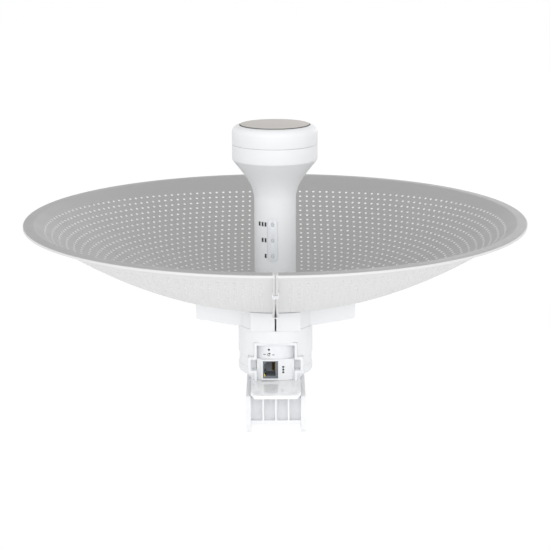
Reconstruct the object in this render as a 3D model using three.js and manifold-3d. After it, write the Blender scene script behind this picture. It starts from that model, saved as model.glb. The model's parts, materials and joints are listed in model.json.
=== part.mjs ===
// Outdoor wireless bridge: a radio and its antenna feed in a slim tube, standing in a two-piece
// parabolic reflector, over a round base with a cable port, on a tilting pole bracket.
//
// Millimetres, +Z up along the boresight, which is the Z axis. The port side faces -Y.
// In use the boresight is level, -Y is down, and the pole runs along Y under the bracket.
// Heights are measured from the plane of the reflector's mouth. At the end the whole group is
// raised, so that the origin is under the mouth's centre, level with the bracket's lowest edge.

import * as THREE from 'three';
import { mergeVertices } from 'three/addons/utils/BufferGeometryUtils.js';
import Module from 'manifold-3d';

const wasm = await Module();
wasm.setup();

// ---------------------------------------------------------------- driving dimensions

const CLEARANCE = 0.3;

// Reflector: a paraboloid of sheet metal with a flat lip and a turned-down hem.
const RIM_RADIUS = 225;
const MOUTH_RADIUS = 216;
const FOCAL_LENGTH = 150;
const SHEET = 1.2;
const HEM_DEPTH = 2.6;
const BOWL_HOLE_RADIUS = 20.5;
const SEAM_GAP = 1.2;
const SEAM_FLANGE_HEIGHT = 4.5;
const SEAM_CLIP_RADIUS = { upper: 182, lower: 60 };
const SEAM_FLANGE_THICKNESS = 1.1;
const SEAM_FLANGE_START = 36;
const BOWL_SEGMENTS = 64;
const BOWL_STEPS = 8;

// Feed tube, its bell, and the cap on the bell.
const TUBE_RADIUS = 18.8;
const TUBE_WALL = 2.4;
const TUBE_BOTTOM = -97.7;
const FOOT_RADIUS = 30;
const FOOT_BOTTOM = -75.9;
const FOOT_THICKNESS = 2.5;
const BELL_START = 17;
const BELL_RADIUS = 38.2;
const BELL_EDGE = 53;
const HEAD_SEAM = 66.7;
const CAP_SIDE_TOP = 77;
const CAP_TOP = 83.6;
const CAP_DISC_RADIUS = 30.8;
const CAP_SEAT_DEPTH = 1.6;

// Signal window in the tube's port side.
const WINDOW = { x: -2.3, z: -18, halfWidth: 4.4, halfHeight: 19.6 };
const LENS_HEIGHTS = { strong: -3.6, medium: -18, weak: -32.4 };
const LENS_HALF_WIDTH = 1.2;
const LENS_HALF_HEIGHT = 1.9;

// Carrier under the bowl.
const CARRIER_BORE = 19.3;
const CARRIER_BOTTOM = -97.7;
const CARRIER_GAP = 1.5;
const CARRIER_SCREW_RADIUS = 25;
const WING_LENGTH = 72;
const WING_HALF_WIDTH = 13;
const CARRIER_BLOCK_HALF_WIDTH = 22.7;
const CARRIER_BLOCK_FACE = 34.5;

// Base housing.
const BASE_RADIUS = 33.8;
const BASE_WAIST_RADIUS = 33.1;
const BASE_WALL = 2.4;
const BASE_TOP = -98;
const BASE_TOP_HOLE_RADIUS = 17.5;
const WAIST = { top: -124.4, bottom: -133.6, step: 0.7 };
const BASE_ROUND = 3;
const BASE_FLOOR = -141.8;
const BASE_BOTTOM = -148.7;
const BASE_NECK_RADIUS = 24.3;
const BASE_LEDGE = { height: -144.2, width: 1.9 };
const END_PLATE_RADIUS = 22;
const END_PLATE_TOP = -146.2;
const BASE_MOUTH_RADIUS = END_PLATE_RADIUS + CLEARANCE;

// Cable port: a stepped recess with a curved panel at its back.
const PORT = {
  top: -112, notchTop: -125.3, notchBottom: -135.6, bottom: -145,
  halfWidth: 17, notchHalfWidth: 22.4, rim: 2.4, face: -30.5, back: -19.6,
};
const PANEL_RADIUS = 27;
const PANEL_THICKNESS = 2;
const PANEL_BOTTOM = -145;
const PANEL_BAND = { radius: 60, face: -28.2, top: -125.4 };
const JACK = { x: [-11.5, 2], z: [-143.4, -127.2], face: -27.9, back: -6.7 };
const JACK_LAMP = { x: [-10.6, -9.2], z: [-141.8, -138.5], depth: 4 };
const BOSS = { face: -28.6, back: -23, rim: 1.6 };
const RESET = { x: -6.1, z: -117.1, holeRadius: 1, buttonRadius: 1.7 };
const SHELF = { top: -145.3, thickness: 3.1, halfWidth: 22.2, rear: -24.7, front: -74, chamfer: [3.3, 11] };
const SHELF_FLANGE = { top: -149, rear: -3, riser: 2.5 };

// Boards and the parts on them.
const BOARD = { front: -6.4, back: -4.8 };
const PART_SEAT = BOARD.front - CLEARANCE;
const REAR_SEAT = BOARD.back + CLEARANCE;
const FEED_PLATE_RADIUS = 30;

// Screws: the pan-head screws of the carrier and of the base share one pattern.
const SCREW_RADIUS = 1.5;
const SCREW_HEAD_RADIUS = 2.8;
const SCREW_HEAD = 2;
const SCREW_HOLE_RADIUS = 2;

// Elevation pivot and pole bracket.
const PIVOT = { y: 8, z: -168 };
const FOOT_PLATE_BOTTOM = -151.6;
const LUG = { inner: 17.6, outer: 21.9, radius: 10 };
const CHEEK = { inner: 22.3, outer: 26.4, earRadius: 17.5, front: -58, topChamfer: 1.5, bottomRound: 6.5 };
const BOLT_RADIUS = 2.9;
const BOLT_HEAD_RADIUS = 4.7;
const BOLT_SOCKET_CORNERS = 5;
const NUT_CORNERS = 9.2;
const HEAD_RECESS = 2;
const SADDLE = { floorTop: -174.1, floorBottom: -177.3, rear: -3, front: -56 };
const BACK_WALL = { thickness: 2.4, top: -156, toe: -54, reach: 9 };
const RIB_X = [-11.3, 0, 11.3];
const RIB_THICKNESS = 1.6;
const STRAP_SLOT = { y: [-24, -9], z: [-173.8, -168.6] };

// A reach that takes a cutting block past every face it cuts.
const FAR = 500;

// ---------------------------------------------------------------- materials

function finish(color, roughness, metalness) {
  return new THREE.MeshStandardMaterial({ color, roughness, metalness });
}

const coatedMetal = finish(0xb4b6b8, 0.55, 0.3);
const whitePlastic = finish(0xf1f2f4, 0.45, 0);
const glossWhite = finish(0xe9ebee, 0.12, 0);
const warmGrey = finish(0xbfbbb6, 0.5, 0);
const windowPlastic = finish(0xe6e9ee, 0.35, 0);
const lensPlastic = finish(0xd3dae4, 0.25, 0);
const darkPlastic = finish(0x2c2e31, 0.5, 0);
const jackGrey = finish(0x6f757c, 0.4, 0.4);
const gold = finish(0xd2a94a, 0.3, 0.9);
const yellowLamp = finish(0xd9b93c, 0.3, 0);
const boardGreen = finish(0x2f6b46, 0.6, 0);
const copper = finish(0xc07a4a, 0.35, 0.9);
const aluminium = finish(0xbfc3c7, 0.35, 0.9);
const steel = finish(0x9da1a6, 0.35, 0.9);
const rubber = finish(0x3a3c3f, 0.85, 0);
const blackCable = finish(0x222326, 0.6, 0);

// ---------------------------------------------------------------- geometry helpers

// Six times the volume enclosed by the triangles, negative when the faces point inward.
function signedVolume(position, index) {
  const [a, b, c] = [new THREE.Vector3(), new THREE.Vector3(), new THREE.Vector3()];
  let total = 0;
  for (let i = 0; i < index.length; i += 3) {
    a.fromBufferAttribute(position, index[i]);
    b.fromBufferAttribute(position, index[i + 1]);
    c.fromBufferAttribute(position, index[i + 2]);
    total += a.dot(b.cross(c));
  }
  return total;
}

// Shared vertices merged, collapsed triangles dropped, and every face turned outward.
function closed(geometry) {
  const bare = geometry.clone();
  bare.deleteAttribute('normal');
  bare.deleteAttribute('uv');
  const merged = mergeVertices(bare, 1e-4);
  const source = merged.index.array;
  const index = [];
  for (let i = 0; i < source.length; i += 3) {
    const [a, b, c] = source.slice(i, i + 3);
    if (a !== b && b !== c && c !== a) index.push(a, b, c);
  }
  if (signedVolume(merged.attributes.position, index) < 0) index.reverse();
  merged.setIndex(index);
  return merged;
}

function toSolid(geometry) {
  const whole = closed(geometry);
  return new wasm.Manifold(new wasm.Mesh({
    numProp: 3,
    vertProperties: new Float32Array(whole.attributes.position.array),
    triVerts: new Uint32Array(whole.index.array),
  }));
}

function toGeometry(solid) {
  const mesh = solid.getMesh();
  const geometry = new THREE.BufferGeometry();
  geometry.setAttribute('position', new THREE.BufferAttribute(mesh.vertProperties, 3));
  geometry.setIndex(new THREE.BufferAttribute(mesh.triVerts, 1));
  return geometry;
}

function joined(...geometries) {
  return toGeometry(geometries.map(toSolid).reduce((whole, next) => whole.add(next)));
}

function cut(geometry, ...tools) {
  return toGeometry(tools.map(toSolid).reduce((rest, tool) => rest.subtract(tool), toSolid(geometry)));
}

function common(first, second) {
  return toGeometry(toSolid(first).intersect(toSolid(second)));
}

function block([x0, x1], [y0, y1], [z0, z1]) {
  const geometry = new THREE.BoxGeometry(x1 - x0, y1 - y0, z1 - z0);
  return geometry.translate((x0 + x1) / 2, (y0 + y1) / 2, (z0 + z1) / 2);
}

// A solid of revolution about Z from [radius, height] pairs.
function turned(outline, segments = 32) {
  const points = outline.map(([radius, height]) => new THREE.Vector2(radius, height));
  return new THREE.LatheGeometry(points, segments).rotateX(Math.PI / 2);
}

// A ring about Z whose outline closes on itself.
function ring(outline, segments = 32) {
  return turned([...outline, outline[0]], segments);
}

function flatShape(outline) {
  return new THREE.Shape(outline.map(([u, v]) => new THREE.Vector2(u, v)));
}

function extruded(shape, depth) {
  return new THREE.ExtrudeGeometry(shape, { depth, bevelEnabled: false, curveSegments: 6 });
}

// A prism along X from a shape drawn in (y, z).
function prismAlongX(shape, x0, x1) {
  const axes = new THREE.Matrix4().makeBasis(
    new THREE.Vector3(0, 1, 0), new THREE.Vector3(0, 0, 1), new THREE.Vector3(1, 0, 0));
  return extruded(shape, x1 - x0).applyMatrix4(axes).translate(x0, 0, 0);
}

// A prism along Y from a shape drawn in (x, z).
function prismAlongY(shape, y0, y1) {
  return extruded(shape, y1 - y0).rotateX(Math.PI / 2).translate(0, y1, 0);
}

function rodAlongX(radius, x0, x1, y, z, segments = 20) {
  const geometry = new THREE.CylinderGeometry(radius, radius, x1 - x0, segments);
  return geometry.rotateZ(Math.PI / 2).translate((x0 + x1) / 2, y, z);
}

function rodAlongY(radius, y0, y1, x, z, segments = 24) {
  const geometry = new THREE.CylinderGeometry(radius, radius, y1 - y0, segments);
  return geometry.translate(x, (y0 + y1) / 2, z);
}

function rodAlongZ(radius, z0, z1, x = 0, y = 0, segments = 20) {
  const geometry = new THREE.CylinderGeometry(radius, radius, z1 - z0, segments);
  return geometry.rotateX(Math.PI / 2).translate(x, y, (z0 + z1) / 2);
}

function tubeAlong(points, radius) {
  const extrudePath = new THREE.CatmullRomCurve3(points.map(([x, y, z]) => new THREE.Vector3(x, y, z)));
  const circle = new THREE.Shape().absarc(0, 0, radius, 0, Math.PI * 2);
  return new THREE.ExtrudeGeometry(circle, { extrudePath, steps: 10, curveSegments: 4, bevelEnabled: false });
}

// Points along a quarter ellipse, from its side to its end.
function quarterRound([centreR, centreZ], radiusR, radiusZ, steps) {
  return Array.from({ length: steps + 1 }, (_, i) => {
    const angle = (i / steps) * (Math.PI / 2);
    return [centreR + radiusR * Math.cos(angle), centreZ + radiusZ * Math.sin(angle)];
  });
}

// A range made wider by the same amount at both ends.
function widened([low, high], by) {
  return [low - by, high + by];
}

// Two straight sides with round ends, upright, in the plane of its two coordinates.
function slotShape(u, v, halfWidth, halfHeight) {
  const straight = halfHeight - halfWidth;
  const shape = new THREE.Shape();
  shape.absarc(u, v + straight, halfWidth, 0, Math.PI);
  shape.absarc(u, v - straight, halfWidth, Math.PI, Math.PI * 2);
  return shape;
}

const object = new THREE.Group();

function add(name, geometry, material) {
  const mesh = new THREE.Mesh(closed(geometry), material);
  mesh.name = name;
  object.add(mesh);
}

// ---------------------------------------------------------------- reflector

function bowlHeight(radius) {
  return (radius ** 2 - MOUTH_RADIUS ** 2) / (4 * FOCAL_LENGTH);
}

// The point below the bowl's inner surface by the given depth, along the surface's normal.
function bowlPoint(radius, depth) {
  const slope = Math.atan(radius / (2 * FOCAL_LENGTH));
  return [radius + depth * Math.sin(slope), bowlHeight(radius) - depth * Math.cos(slope)];
}

function bowlCurve(from, to, depth, steps) {
  return Array.from({ length: steps + 1 }, (_, i) => bowlPoint(from + ((to - from) * i) / steps, depth));
}

function reflectorSheet() {
  return ring([
    ...bowlCurve(BOWL_HOLE_RADIUS, MOUTH_RADIUS, 0, BOWL_STEPS),
    [RIM_RADIUS, 0],
    [RIM_RADIUS, -HEM_DEPTH],
    [RIM_RADIUS - SHEET, -HEM_DEPTH],
    [RIM_RADIUS - SHEET, -SHEET],
    ...bowlCurve(MOUTH_RADIUS, BOWL_HOLE_RADIUS, SHEET, BOWL_STEPS),
  ], BOWL_SEGMENTS);
}

// The strip that stands out from the sheet's underside along the seam, on the front or rear.
function seamFlange(side, end) {
  const outline = [
    ...bowlCurve(SEAM_FLANGE_START, MOUTH_RADIUS, SHEET / 2, BOWL_STEPS),
    ...bowlCurve(MOUTH_RADIUS - 3, SEAM_FLANGE_START, SHEET + SEAM_FLANGE_HEIGHT, BOWL_STEPS),
  ].map(([radius, height]) => [end * radius, height]);
  const near = SEAM_GAP / 2;
  const far = near + SEAM_FLANGE_THICKNESS;
  return prismAlongX(flatShape(outline), side > 0 ? near : -far, side > 0 ? far : -near);
}

function sideOfSeam(side, gap, reach) {
  const x = side > 0 ? [gap / 2, reach] : [-reach, -gap / 2];
  return block(x, [-reach, reach], [-reach, reach]);
}

function carrierScrewPlaces() {
  const offset = CARRIER_SCREW_RADIUS * Math.SQRT1_2;
  return [[-offset, -offset], [offset, -offset], [-offset, offset], [offset, offset]];
}

function screwHoles(places, z0, z1) {
  return places.map(([x, y]) => rodAlongZ(SCREW_HOLE_RADIUS, z0, z1, x, y, 8));
}

function carrierScrewHoles(z0, z1) {
  return screwHoles(carrierScrewPlaces(), z0, z1);
}

function reflectorHalf(side) {
  const half = common(reflectorSheet(), sideOfSeam(side, SEAM_GAP, 2 * RIM_RADIUS));
  const stiffened = joined(half, seamFlange(side, -1), seamFlange(side, 1));
  return cut(stiffened, ...carrierScrewHoles(-90, -70));
}

// A small channel that slips over both seam flanges from outside.
function seamClip(end, radius) {
  const inner = SEAM_GAP / 2 + SEAM_FLANGE_THICKNESS + CLEARANCE;
  const outer = inner + 0.8;
  const halfLength = 3;
  const root = SHEET + 1;
  const tip = SHEET + SEAM_FLANGE_HEIGHT + CLEARANCE;
  const channel = cut(
    block([-outer, outer], [-halfLength, halfLength], [-(tip + 0.9), -root]),
    block([-inner, inner], [-halfLength - 1, halfLength + 1], [-tip, 0]));
  const slope = Math.atan(radius / (2 * FOCAL_LENGTH));
  return channel.rotateX(end * slope).translate(0, end * radius, bowlHeight(radius));
}

add('reflector_left', reflectorHalf(-1), coatedMetal);
add('reflector_right', reflectorHalf(1), coatedMetal);
add('seam_clip_front_upper', seamClip(-1, SEAM_CLIP_RADIUS.upper), whitePlastic);
add('seam_clip_front_lower', seamClip(-1, SEAM_CLIP_RADIUS.lower), whitePlastic);
add('seam_clip_rear_upper', seamClip(1, SEAM_CLIP_RADIUS.upper), whitePlastic);
add('seam_clip_rear_lower', seamClip(1, SEAM_CLIP_RADIUS.lower), whitePlastic);

// ---------------------------------------------------------------- carrier under the bowl

function wingShape(side) {
  const root = 30;
  const end = side * WING_LENGTH;
  const shape = new THREE.Shape();
  shape.moveTo(side * root, -60);
  shape.lineTo(end, -60);
  shape.lineTo(end, -87);
  shape.quadraticCurveTo(end, -90.4, end - side * 4, -91.3);
  shape.lineTo(side * 36, CARRIER_BOTTOM);
  shape.lineTo(side * root, CARRIER_BOTTOM);
  return shape;
}

// Everything the bowl's underside occupies, with its clearance.
function underBowlSpace() {
  const underside = bowlCurve(0, 90, SHEET + CLEARANCE, 8);
  return turned([[0, 10], ...underside, [95, 10], [0, 10]], BOWL_SEGMENTS);
}

function carrierHalf(side) {
  const top = -70;
  const collar = ring([
    [CARRIER_BORE, CARRIER_BOTTOM], [BASE_RADIUS, CARRIER_BOTTOM], [BASE_RADIUS, top], [CARRIER_BORE, top],
  ]);
  const wing = prismAlongY(wingShape(side), -WING_HALF_WIDTH, WING_HALF_WIDTH);
  const blockX = [-CARRIER_BLOCK_HALF_WIDTH, CARRIER_BLOCK_HALF_WIDTH];
  const blockZ = [CARRIER_BOTTOM, top];
  const frontBlock = block(blockX, [-CARRIER_BLOCK_FACE, -22], blockZ);
  const rearBlock = block(blockX, [22, CARRIER_BLOCK_FACE], blockZ);
  const whole = joined(collar, wing, frontBlock, rearBlock);
  const half = common(whole, sideOfSeam(side, CARRIER_GAP, 100));
  return cut(half, underBowlSpace(), ...carrierScrewHoles(-92, -60));
}

// A screw along Z whose head points up or down, with a cross recess in the head.
function panHeadScrew([x, y], headTop, direction, length) {
  const recess = { halfLength: 1.6, halfWidth: 0.4, depth: 0.8 };
  const underHead = headTop - direction * SCREW_HEAD;
  const inHead = underHead + direction * 0.2;
  const tip = underHead - direction * length;
  const [shankLow, shankHigh] = [tip, inHead].sort((a, b) => a - b);
  const [headLow, headHigh] = [headTop, underHead].sort((a, b) => a - b);
  const shank = rodAlongZ(SCREW_RADIUS, shankLow, shankHigh, x, y, 8);
  const head = rodAlongZ(SCREW_HEAD_RADIUS, headLow, headHigh, x, y, 12);
  const long = [-recess.halfLength, recess.halfLength];
  const narrow = [-recess.halfWidth, recess.halfWidth];
  const deep = [headTop - recess.depth, headTop + recess.depth];
  return cut(joined(shank, head),
    block(long, narrow, deep).translate(x, y, 0),
    block(narrow, long, deep).translate(x, y, 0));
}

add('carrier_left', carrierHalf(-1), whitePlastic);
add('carrier_right', carrierHalf(1), whitePlastic);
carrierScrewPlaces().forEach((place, i) => {
  const headTop = FOOT_BOTTOM + FOOT_THICKNESS + CLEARANCE + SCREW_HEAD;
  add(`carrier_screw_${i + 1}`, panHeadScrew(place, headTop, 1, 14), steel);
});

// ---------------------------------------------------------------- feed tube and head

// The bell's flare, leaving the tube upright and ending in a slant.
function bellCurve(inset) {
  const curve = new THREE.CubicBezierCurve(
    new THREE.Vector2(TUBE_RADIUS - inset, BELL_START),
    new THREE.Vector2(TUBE_RADIUS - inset, BELL_START + 13),
    new THREE.Vector2(28 - inset, 40),
    new THREE.Vector2(BELL_RADIUS - inset, BELL_EDGE));
  return curve.getPoints(5).map((point) => [point.x, point.y]);
}

function windowCutter(grow) {
  const shape = slotShape(WINDOW.x, WINDOW.z, WINDOW.halfWidth + grow, WINDOW.halfHeight + grow);
  return prismAlongY(shape, -TUBE_RADIUS - 5, -10);
}

function lensPrism(height, grow, y0, y1) {
  const shape = slotShape(WINDOW.x, height, LENS_HALF_WIDTH + grow, LENS_HALF_HEIGHT + grow);
  return prismAlongY(shape, y0, y1);
}

function feedTube() {
  const footTop = FOOT_BOTTOM + FOOT_THICKNESS;
  const shell = ring([
    [TUBE_RADIUS, TUBE_BOTTOM],
    [TUBE_RADIUS, FOOT_BOTTOM],
    [FOOT_RADIUS, FOOT_BOTTOM],
    [FOOT_RADIUS, footTop],
    [TUBE_RADIUS + 1, footTop],
    [TUBE_RADIUS, footTop + 1],
    ...bellCurve(0),
    [BELL_RADIUS, HEAD_SEAM - CLEARANCE],
    [BELL_RADIUS - TUBE_WALL, HEAD_SEAM - CLEARANCE],
    ...bellCurve(TUBE_WALL).reverse(),
    [TUBE_RADIUS - TUBE_WALL, TUBE_BOTTOM],
  ]);
  return cut(shell, windowCutter(CLEARANCE), ...carrierScrewHoles(-80, -70));
}

function signalWindow() {
  const inner = TUBE_RADIUS - 1.8;
  const wall = ring([[inner, -60], [TUBE_RADIUS, -60], [TUBE_RADIUS, 20], [inner, 20]]);
  const lensHoles = Object.values(LENS_HEIGHTS).map((height) => lensPrism(height, CLEARANCE, -25, -10));
  return cut(common(wall, windowCutter(0)), ...lensHoles);
}

// The cap's spigot reaches down inside the bell, and its top has a shallow seat for the disc.
function feedCap() {
  const side = CAP_TOP - CAP_SIDE_TOP;
  const seatRadius = CAP_DISC_RADIUS + 0.8;
  const wallRadius = BELL_RADIUS - TUBE_WALL;
  const spigot = { inner: 32.4, outer: 34.4, bottom: HEAD_SEAM - 4.5 };
  return turned([
    [0, CAP_TOP - 4],
    [30, CAP_TOP - 4],
    [wallRadius, CAP_SIDE_TOP],
    [wallRadius, HEAD_SEAM + 3],
    [spigot.inner, HEAD_SEAM + 1.5],
    [spigot.inner, spigot.bottom],
    [spigot.outer, spigot.bottom],
    [spigot.outer, HEAD_SEAM + CLEARANCE],
    [BELL_RADIUS, HEAD_SEAM + CLEARANCE],
    ...quarterRound([BELL_RADIUS - side, CAP_SIDE_TOP], side, side, 4),
    [seatRadius, CAP_TOP - CAP_SEAT_DEPTH],
    [0, CAP_TOP - CAP_SEAT_DEPTH],
  ]);
}

function capDisc() {
  const bottom = CAP_TOP - CAP_SEAT_DEPTH + CLEARANCE;
  const top = CAP_TOP + 0.8;
  const edge = 0.5;
  return turned([
    [0, bottom],
    [CAP_DISC_RADIUS, bottom],
    [CAP_DISC_RADIUS, top - edge],
    [CAP_DISC_RADIUS - edge, top],
    [0, top],
  ]);
}

add('feed_tube', feedTube(), whitePlastic);
add('feed_cap', feedCap(), whitePlastic);
add('cap_disc', capDisc(), warmGrey);
add('cap_seal', ring([[34.7, 63], [35.5, 63], [35.5, 64.6], [34.7, 64.6]]), rubber);
add('led_window', signalWindow(), windowPlastic);
for (const [signal, height] of Object.entries(LENS_HEIGHTS)) {
  add(`led_lens_${signal}`, lensPrism(height, 0, -TUBE_RADIUS - 0.1, PART_SEAT), lensPlastic);
}

// The feed inside the head: a ground plate above a board whose patch faces the bowl.
function roundPlate(z0, z1) {
  return turned([[0, z0], [FEED_PLATE_RADIUS, z0], [FEED_PLATE_RADIUS, z1], [0, z1]]);
}

function feedCable(side) {
  const path = [[9, -3.2, 12], [9, -3.2, 30], [16, -1, 44], [17, 0, 55.4]];
  return tubeAlong(path.map(([x, y, z]) => [side * x, y, z]), 1.3);
}

add('feed_backplate', roundPlate(70, 71.2), aluminium);
add('feed_post', rodAlongZ(2.5, 57.9, 69.7), aluminium);
add('feed_board', roundPlate(56, 57.6), boardGreen);
add('feed_patch', block([-13, 13], [-13, 13], [54.9, 55.7]), copper);
add('feed_cable_left', feedCable(-1), blackCable);
add('feed_cable_right', feedCable(1), blackCable);

// ---------------------------------------------------------------- boards in the tube and base

// Narrow in the tube and wide in the base, drawn down its right edge and up its left.
function mainBoard() {
  const rightEdge = [[14, 38], [14, -101], [21, -104], [21, -136], [18, -139], [18, -145.5]];
  const leftEdge = rightEdge.map(([x, z]) => [-x, z]).reverse();
  return prismAlongY(flatShape([...rightEdge, ...leftEdge]), BOARD.front, BOARD.back);
}

function heatSpreader() {
  const length = [-92, 4];
  const plate = block([-10, 10], [REAR_SEAT + 4, REAR_SEAT + 7], length);
  const fins = [-9, -4.5, 0, 4.5, 9].map((x) => (
    block([x - 0.7, x + 0.7], [REAR_SEAT + 6, REAR_SEAT + 13], length)));
  return joined(plate, ...fins);
}

add('main_board', mainBoard(), boardGreen);
add('rf_shield', block([-11, 11], [REAR_SEAT, REAR_SEAT + 3.7], [-60, 8]), steel);
add('heat_spreader', heatSpreader(), aluminium);
add('magnetics_block', block([6, 19], [PART_SEAT - 6, PART_SEAT], [-139, -124]), darkPlastic);

// ---------------------------------------------------------------- base housing

// The stepped outline of the port, grown outward by the given amount.
function portShape(grow) {
  const narrow = PORT.halfWidth + grow;
  const wide = PORT.notchHalfWidth + grow;
  const rightEdge = [
    [narrow, PORT.top + grow],
    [narrow, PORT.notchTop + grow],
    [wide, PORT.notchTop + grow],
    [wide, PORT.notchBottom - grow],
    [narrow, PORT.notchBottom - grow],
    [narrow, PORT.bottom],
  ];
  const leftEdge = rightEdge.map(([x, z]) => [-x, z]).reverse();
  return flatShape([...rightEdge, ...leftEdge]);
}

function baseHousing() {
  const ledgeRadius = BASE_MOUTH_RADIUS - BASE_LEDGE.width;
  const floorTop = BASE_FLOOR + BASE_WALL;
  const shell = ring([
    [BASE_TOP_HOLE_RADIUS, BASE_TOP],
    [BASE_RADIUS, BASE_TOP],
    [BASE_RADIUS, WAIST.top + WAIST.step],
    [BASE_WAIST_RADIUS, WAIST.top],
    [BASE_WAIST_RADIUS, WAIST.bottom],
    [BASE_RADIUS, WAIST.bottom - WAIST.step],
    ...quarterRound([BASE_RADIUS - BASE_ROUND, BASE_FLOOR + BASE_ROUND], BASE_ROUND, -BASE_ROUND, 3),
    [BASE_NECK_RADIUS, BASE_FLOOR],
    [BASE_NECK_RADIUS, BASE_BOTTOM],
    [BASE_MOUTH_RADIUS, BASE_BOTTOM],
    [BASE_MOUTH_RADIUS, BASE_LEDGE.height],
    [ledgeRadius, BASE_LEDGE.height],
    [ledgeRadius, floorTop],
    [BASE_RADIUS - BASE_WALL, floorTop],
    [BASE_RADIUS - BASE_WALL, BASE_TOP - BASE_WALL],
    [BASE_TOP_HOLE_RADIUS, BASE_TOP - BASE_WALL],
  ]);
  const frameSpace = prismAlongY(portShape(PORT.rim + CLEARANCE), -BASE_RADIUS - 5, PORT.back + CLEARANCE);
  const footHalfWidth = PORT.halfWidth + PORT.rim + CLEARANCE;
  const openFoot = block([-footHalfWidth, footHalfWidth], [-FAR, PORT.back + 3.1], [-FAR, floorTop]);
  return cut(shell, frameSpace, openFoot);
}

// The bright rim round the recess, with the floors of its two side notches.
function portFrame() {
  const rim = prismAlongY(portShape(PORT.rim), PORT.face, PORT.back);
  const recess = prismAlongY(portShape(0), -FAR, 0);
  const openFoot = block([-PORT.halfWidth, PORT.halfWidth], [-FAR, 0], [-FAR, PORT.notchBottom - 4]);
  const floor = block(
    [PORT.halfWidth + CLEARANCE, PORT.notchHalfWidth + 1],
    [PORT.back - 1.4, PORT.back],
    [PORT.notchBottom - 1, PORT.notchTop + 1]);
  const floorMirrored = floor.clone().rotateZ(Math.PI).translate(0, 2 * PORT.back - 1.4, 0);
  return joined(cut(rim, recess, openFoot), floor, floorMirrored);
}

// A curved sheet that fills out to a flatter lower band, with a boss round the jack.
function portPanel() {
  const top = PORT.top - 0.5;
  const inner = PANEL_RADIUS - PANEL_THICKNESS;
  const halfWidth = PORT.halfWidth - CLEARANCE;
  const through = [-FAR, -10];
  const curved = ring([
    [inner, PANEL_BOTTOM], [PANEL_RADIUS, PANEL_BOTTOM], [PANEL_RADIUS, top], [inner, top],
  ], 48);
  const bandCentre = PANEL_BAND.face + PANEL_BAND.radius;
  const band = cut(
    rodAlongZ(PANEL_BAND.radius, PANEL_BOTTOM, PANEL_BAND.top, 0, bandCentre, 96),
    rodAlongZ(inner + PANEL_THICKNESS / 2, -FAR, FAR, 0, 0, 48));
  const sheet = common(
    joined(curved, band),
    block([-halfWidth, halfWidth], through, [-FAR, FAR]));
  const boss = block(widened(JACK.x, BOSS.rim), [BOSS.face, BOSS.back], widened(JACK.z, BOSS.rim));
  const jackHole = block(widened(JACK.x, CLEARANCE), through, widened(JACK.z, CLEARANCE));
  return cut(joined(sheet, boss), jackHole, rodAlongY(RESET.holeRadius, ...through, RESET.x, RESET.z, 16));
}

// The tray in front of the port, stepped down at its rear to a flange under the base.
function portShelf() {
  const [cornerX, cornerY] = SHELF.chamfer;
  const rightEdge = [
    [SHELF.halfWidth - cornerX, SHELF.front],
    [SHELF.halfWidth, SHELF.front + cornerY],
    [SHELF.halfWidth, SHELF.rear],
  ];
  const leftEdge = rightEdge.map(([x, y]) => [-x, y]).reverse();
  const plate = extruded(flatShape([...rightEdge, ...leftEdge]), SHELF.thickness);
  plate.translate(0, 0, SHELF.top - SHELF.thickness);
  const width = [-SHELF.halfWidth, SHELF.halfWidth];
  const flangeBottom = SHELF_FLANGE.top - SHELF.thickness;
  const riserFront = SHELF.rear - SHELF_FLANGE.riser;
  const riser = block(width, [riserFront, SHELF.rear], [flangeBottom, SHELF.top - 1]);
  const flange = block(width, [riserFront, SHELF_FLANGE.rear], [flangeBottom, SHELF_FLANGE.top]);
  const frontPair = baseScrewPlaces().slice(0, 2);
  return cut(joined(plate, riser, flange), ...screwHoles(frontPair, -160, -140));
}

add('base_housing', baseHousing(), whitePlastic);
add('port_frame', portFrame(), whitePlastic);
add('port_panel', portPanel(), whitePlastic);
add('port_shelf', portShelf(), glossWhite);

// ---------------------------------------------------------------- jack and reset switch

function ethernetJack() {
  const [x0, x1] = JACK.x;
  const body = block(JACK.x, [JACK.face, JACK.back], JACK.z);
  const cavityZ = [-140.1, -128.1];
  const plug = block([x0 + 2.9, x1 - 2.9], [JACK.face - 1, JACK.face + 14], cavityZ);
  const latch = block([x0 + 0.9, x0 + 3.2], [JACK.face - 1, JACK.face + 11], [-137.1, -131.1]);
  const lampPocket = block(
    widened(JACK_LAMP.x, CLEARANCE),
    [JACK.face - 1, JACK.face + JACK_LAMP.depth + CLEARANCE],
    widened(JACK_LAMP.z, CLEARANCE));
  return cut(body, plug, latch, lampPocket);
}

// Eight contacts side by side on one slab, at the usual pitch of such a jack.
function contactBlock() {
  const pitch = 1.02;
  const middle = -134.1;
  const seat = JACK.x[1] - 2.9 - CLEARANCE;
  const length = [-25, -15.5];
  const slab = block([seat - 0.7, seat], length, [middle - 5.2, middle + 5.2]);
  const wires = Array.from({ length: 8 }, (_, i) => {
    const z = middle + (i - 3.5) * pitch;
    return block([seat - 1.6, seat - 0.6], length, [z - 0.25, z + 0.25]);
  });
  return joined(slab, ...wires);
}

// A square switch whose well takes the button, with room for the button to travel.
function resetSwitch() {
  const halfSide = 3;
  const body = block([-halfSide, halfSide], [PART_SEAT - 3.5, PART_SEAT], [-halfSide, halfSide]);
  const well = rodAlongY(RESET.buttonRadius + CLEARANCE, PART_SEAT - 4, PART_SEAT - 1.5, 0, 0, 20);
  return cut(body, well).translate(RESET.x, 0, RESET.z);
}

function resetButton() {
  return rodAlongY(RESET.buttonRadius, PART_SEAT - 9, PART_SEAT - 2.4, RESET.x, RESET.z, 20);
}

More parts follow.
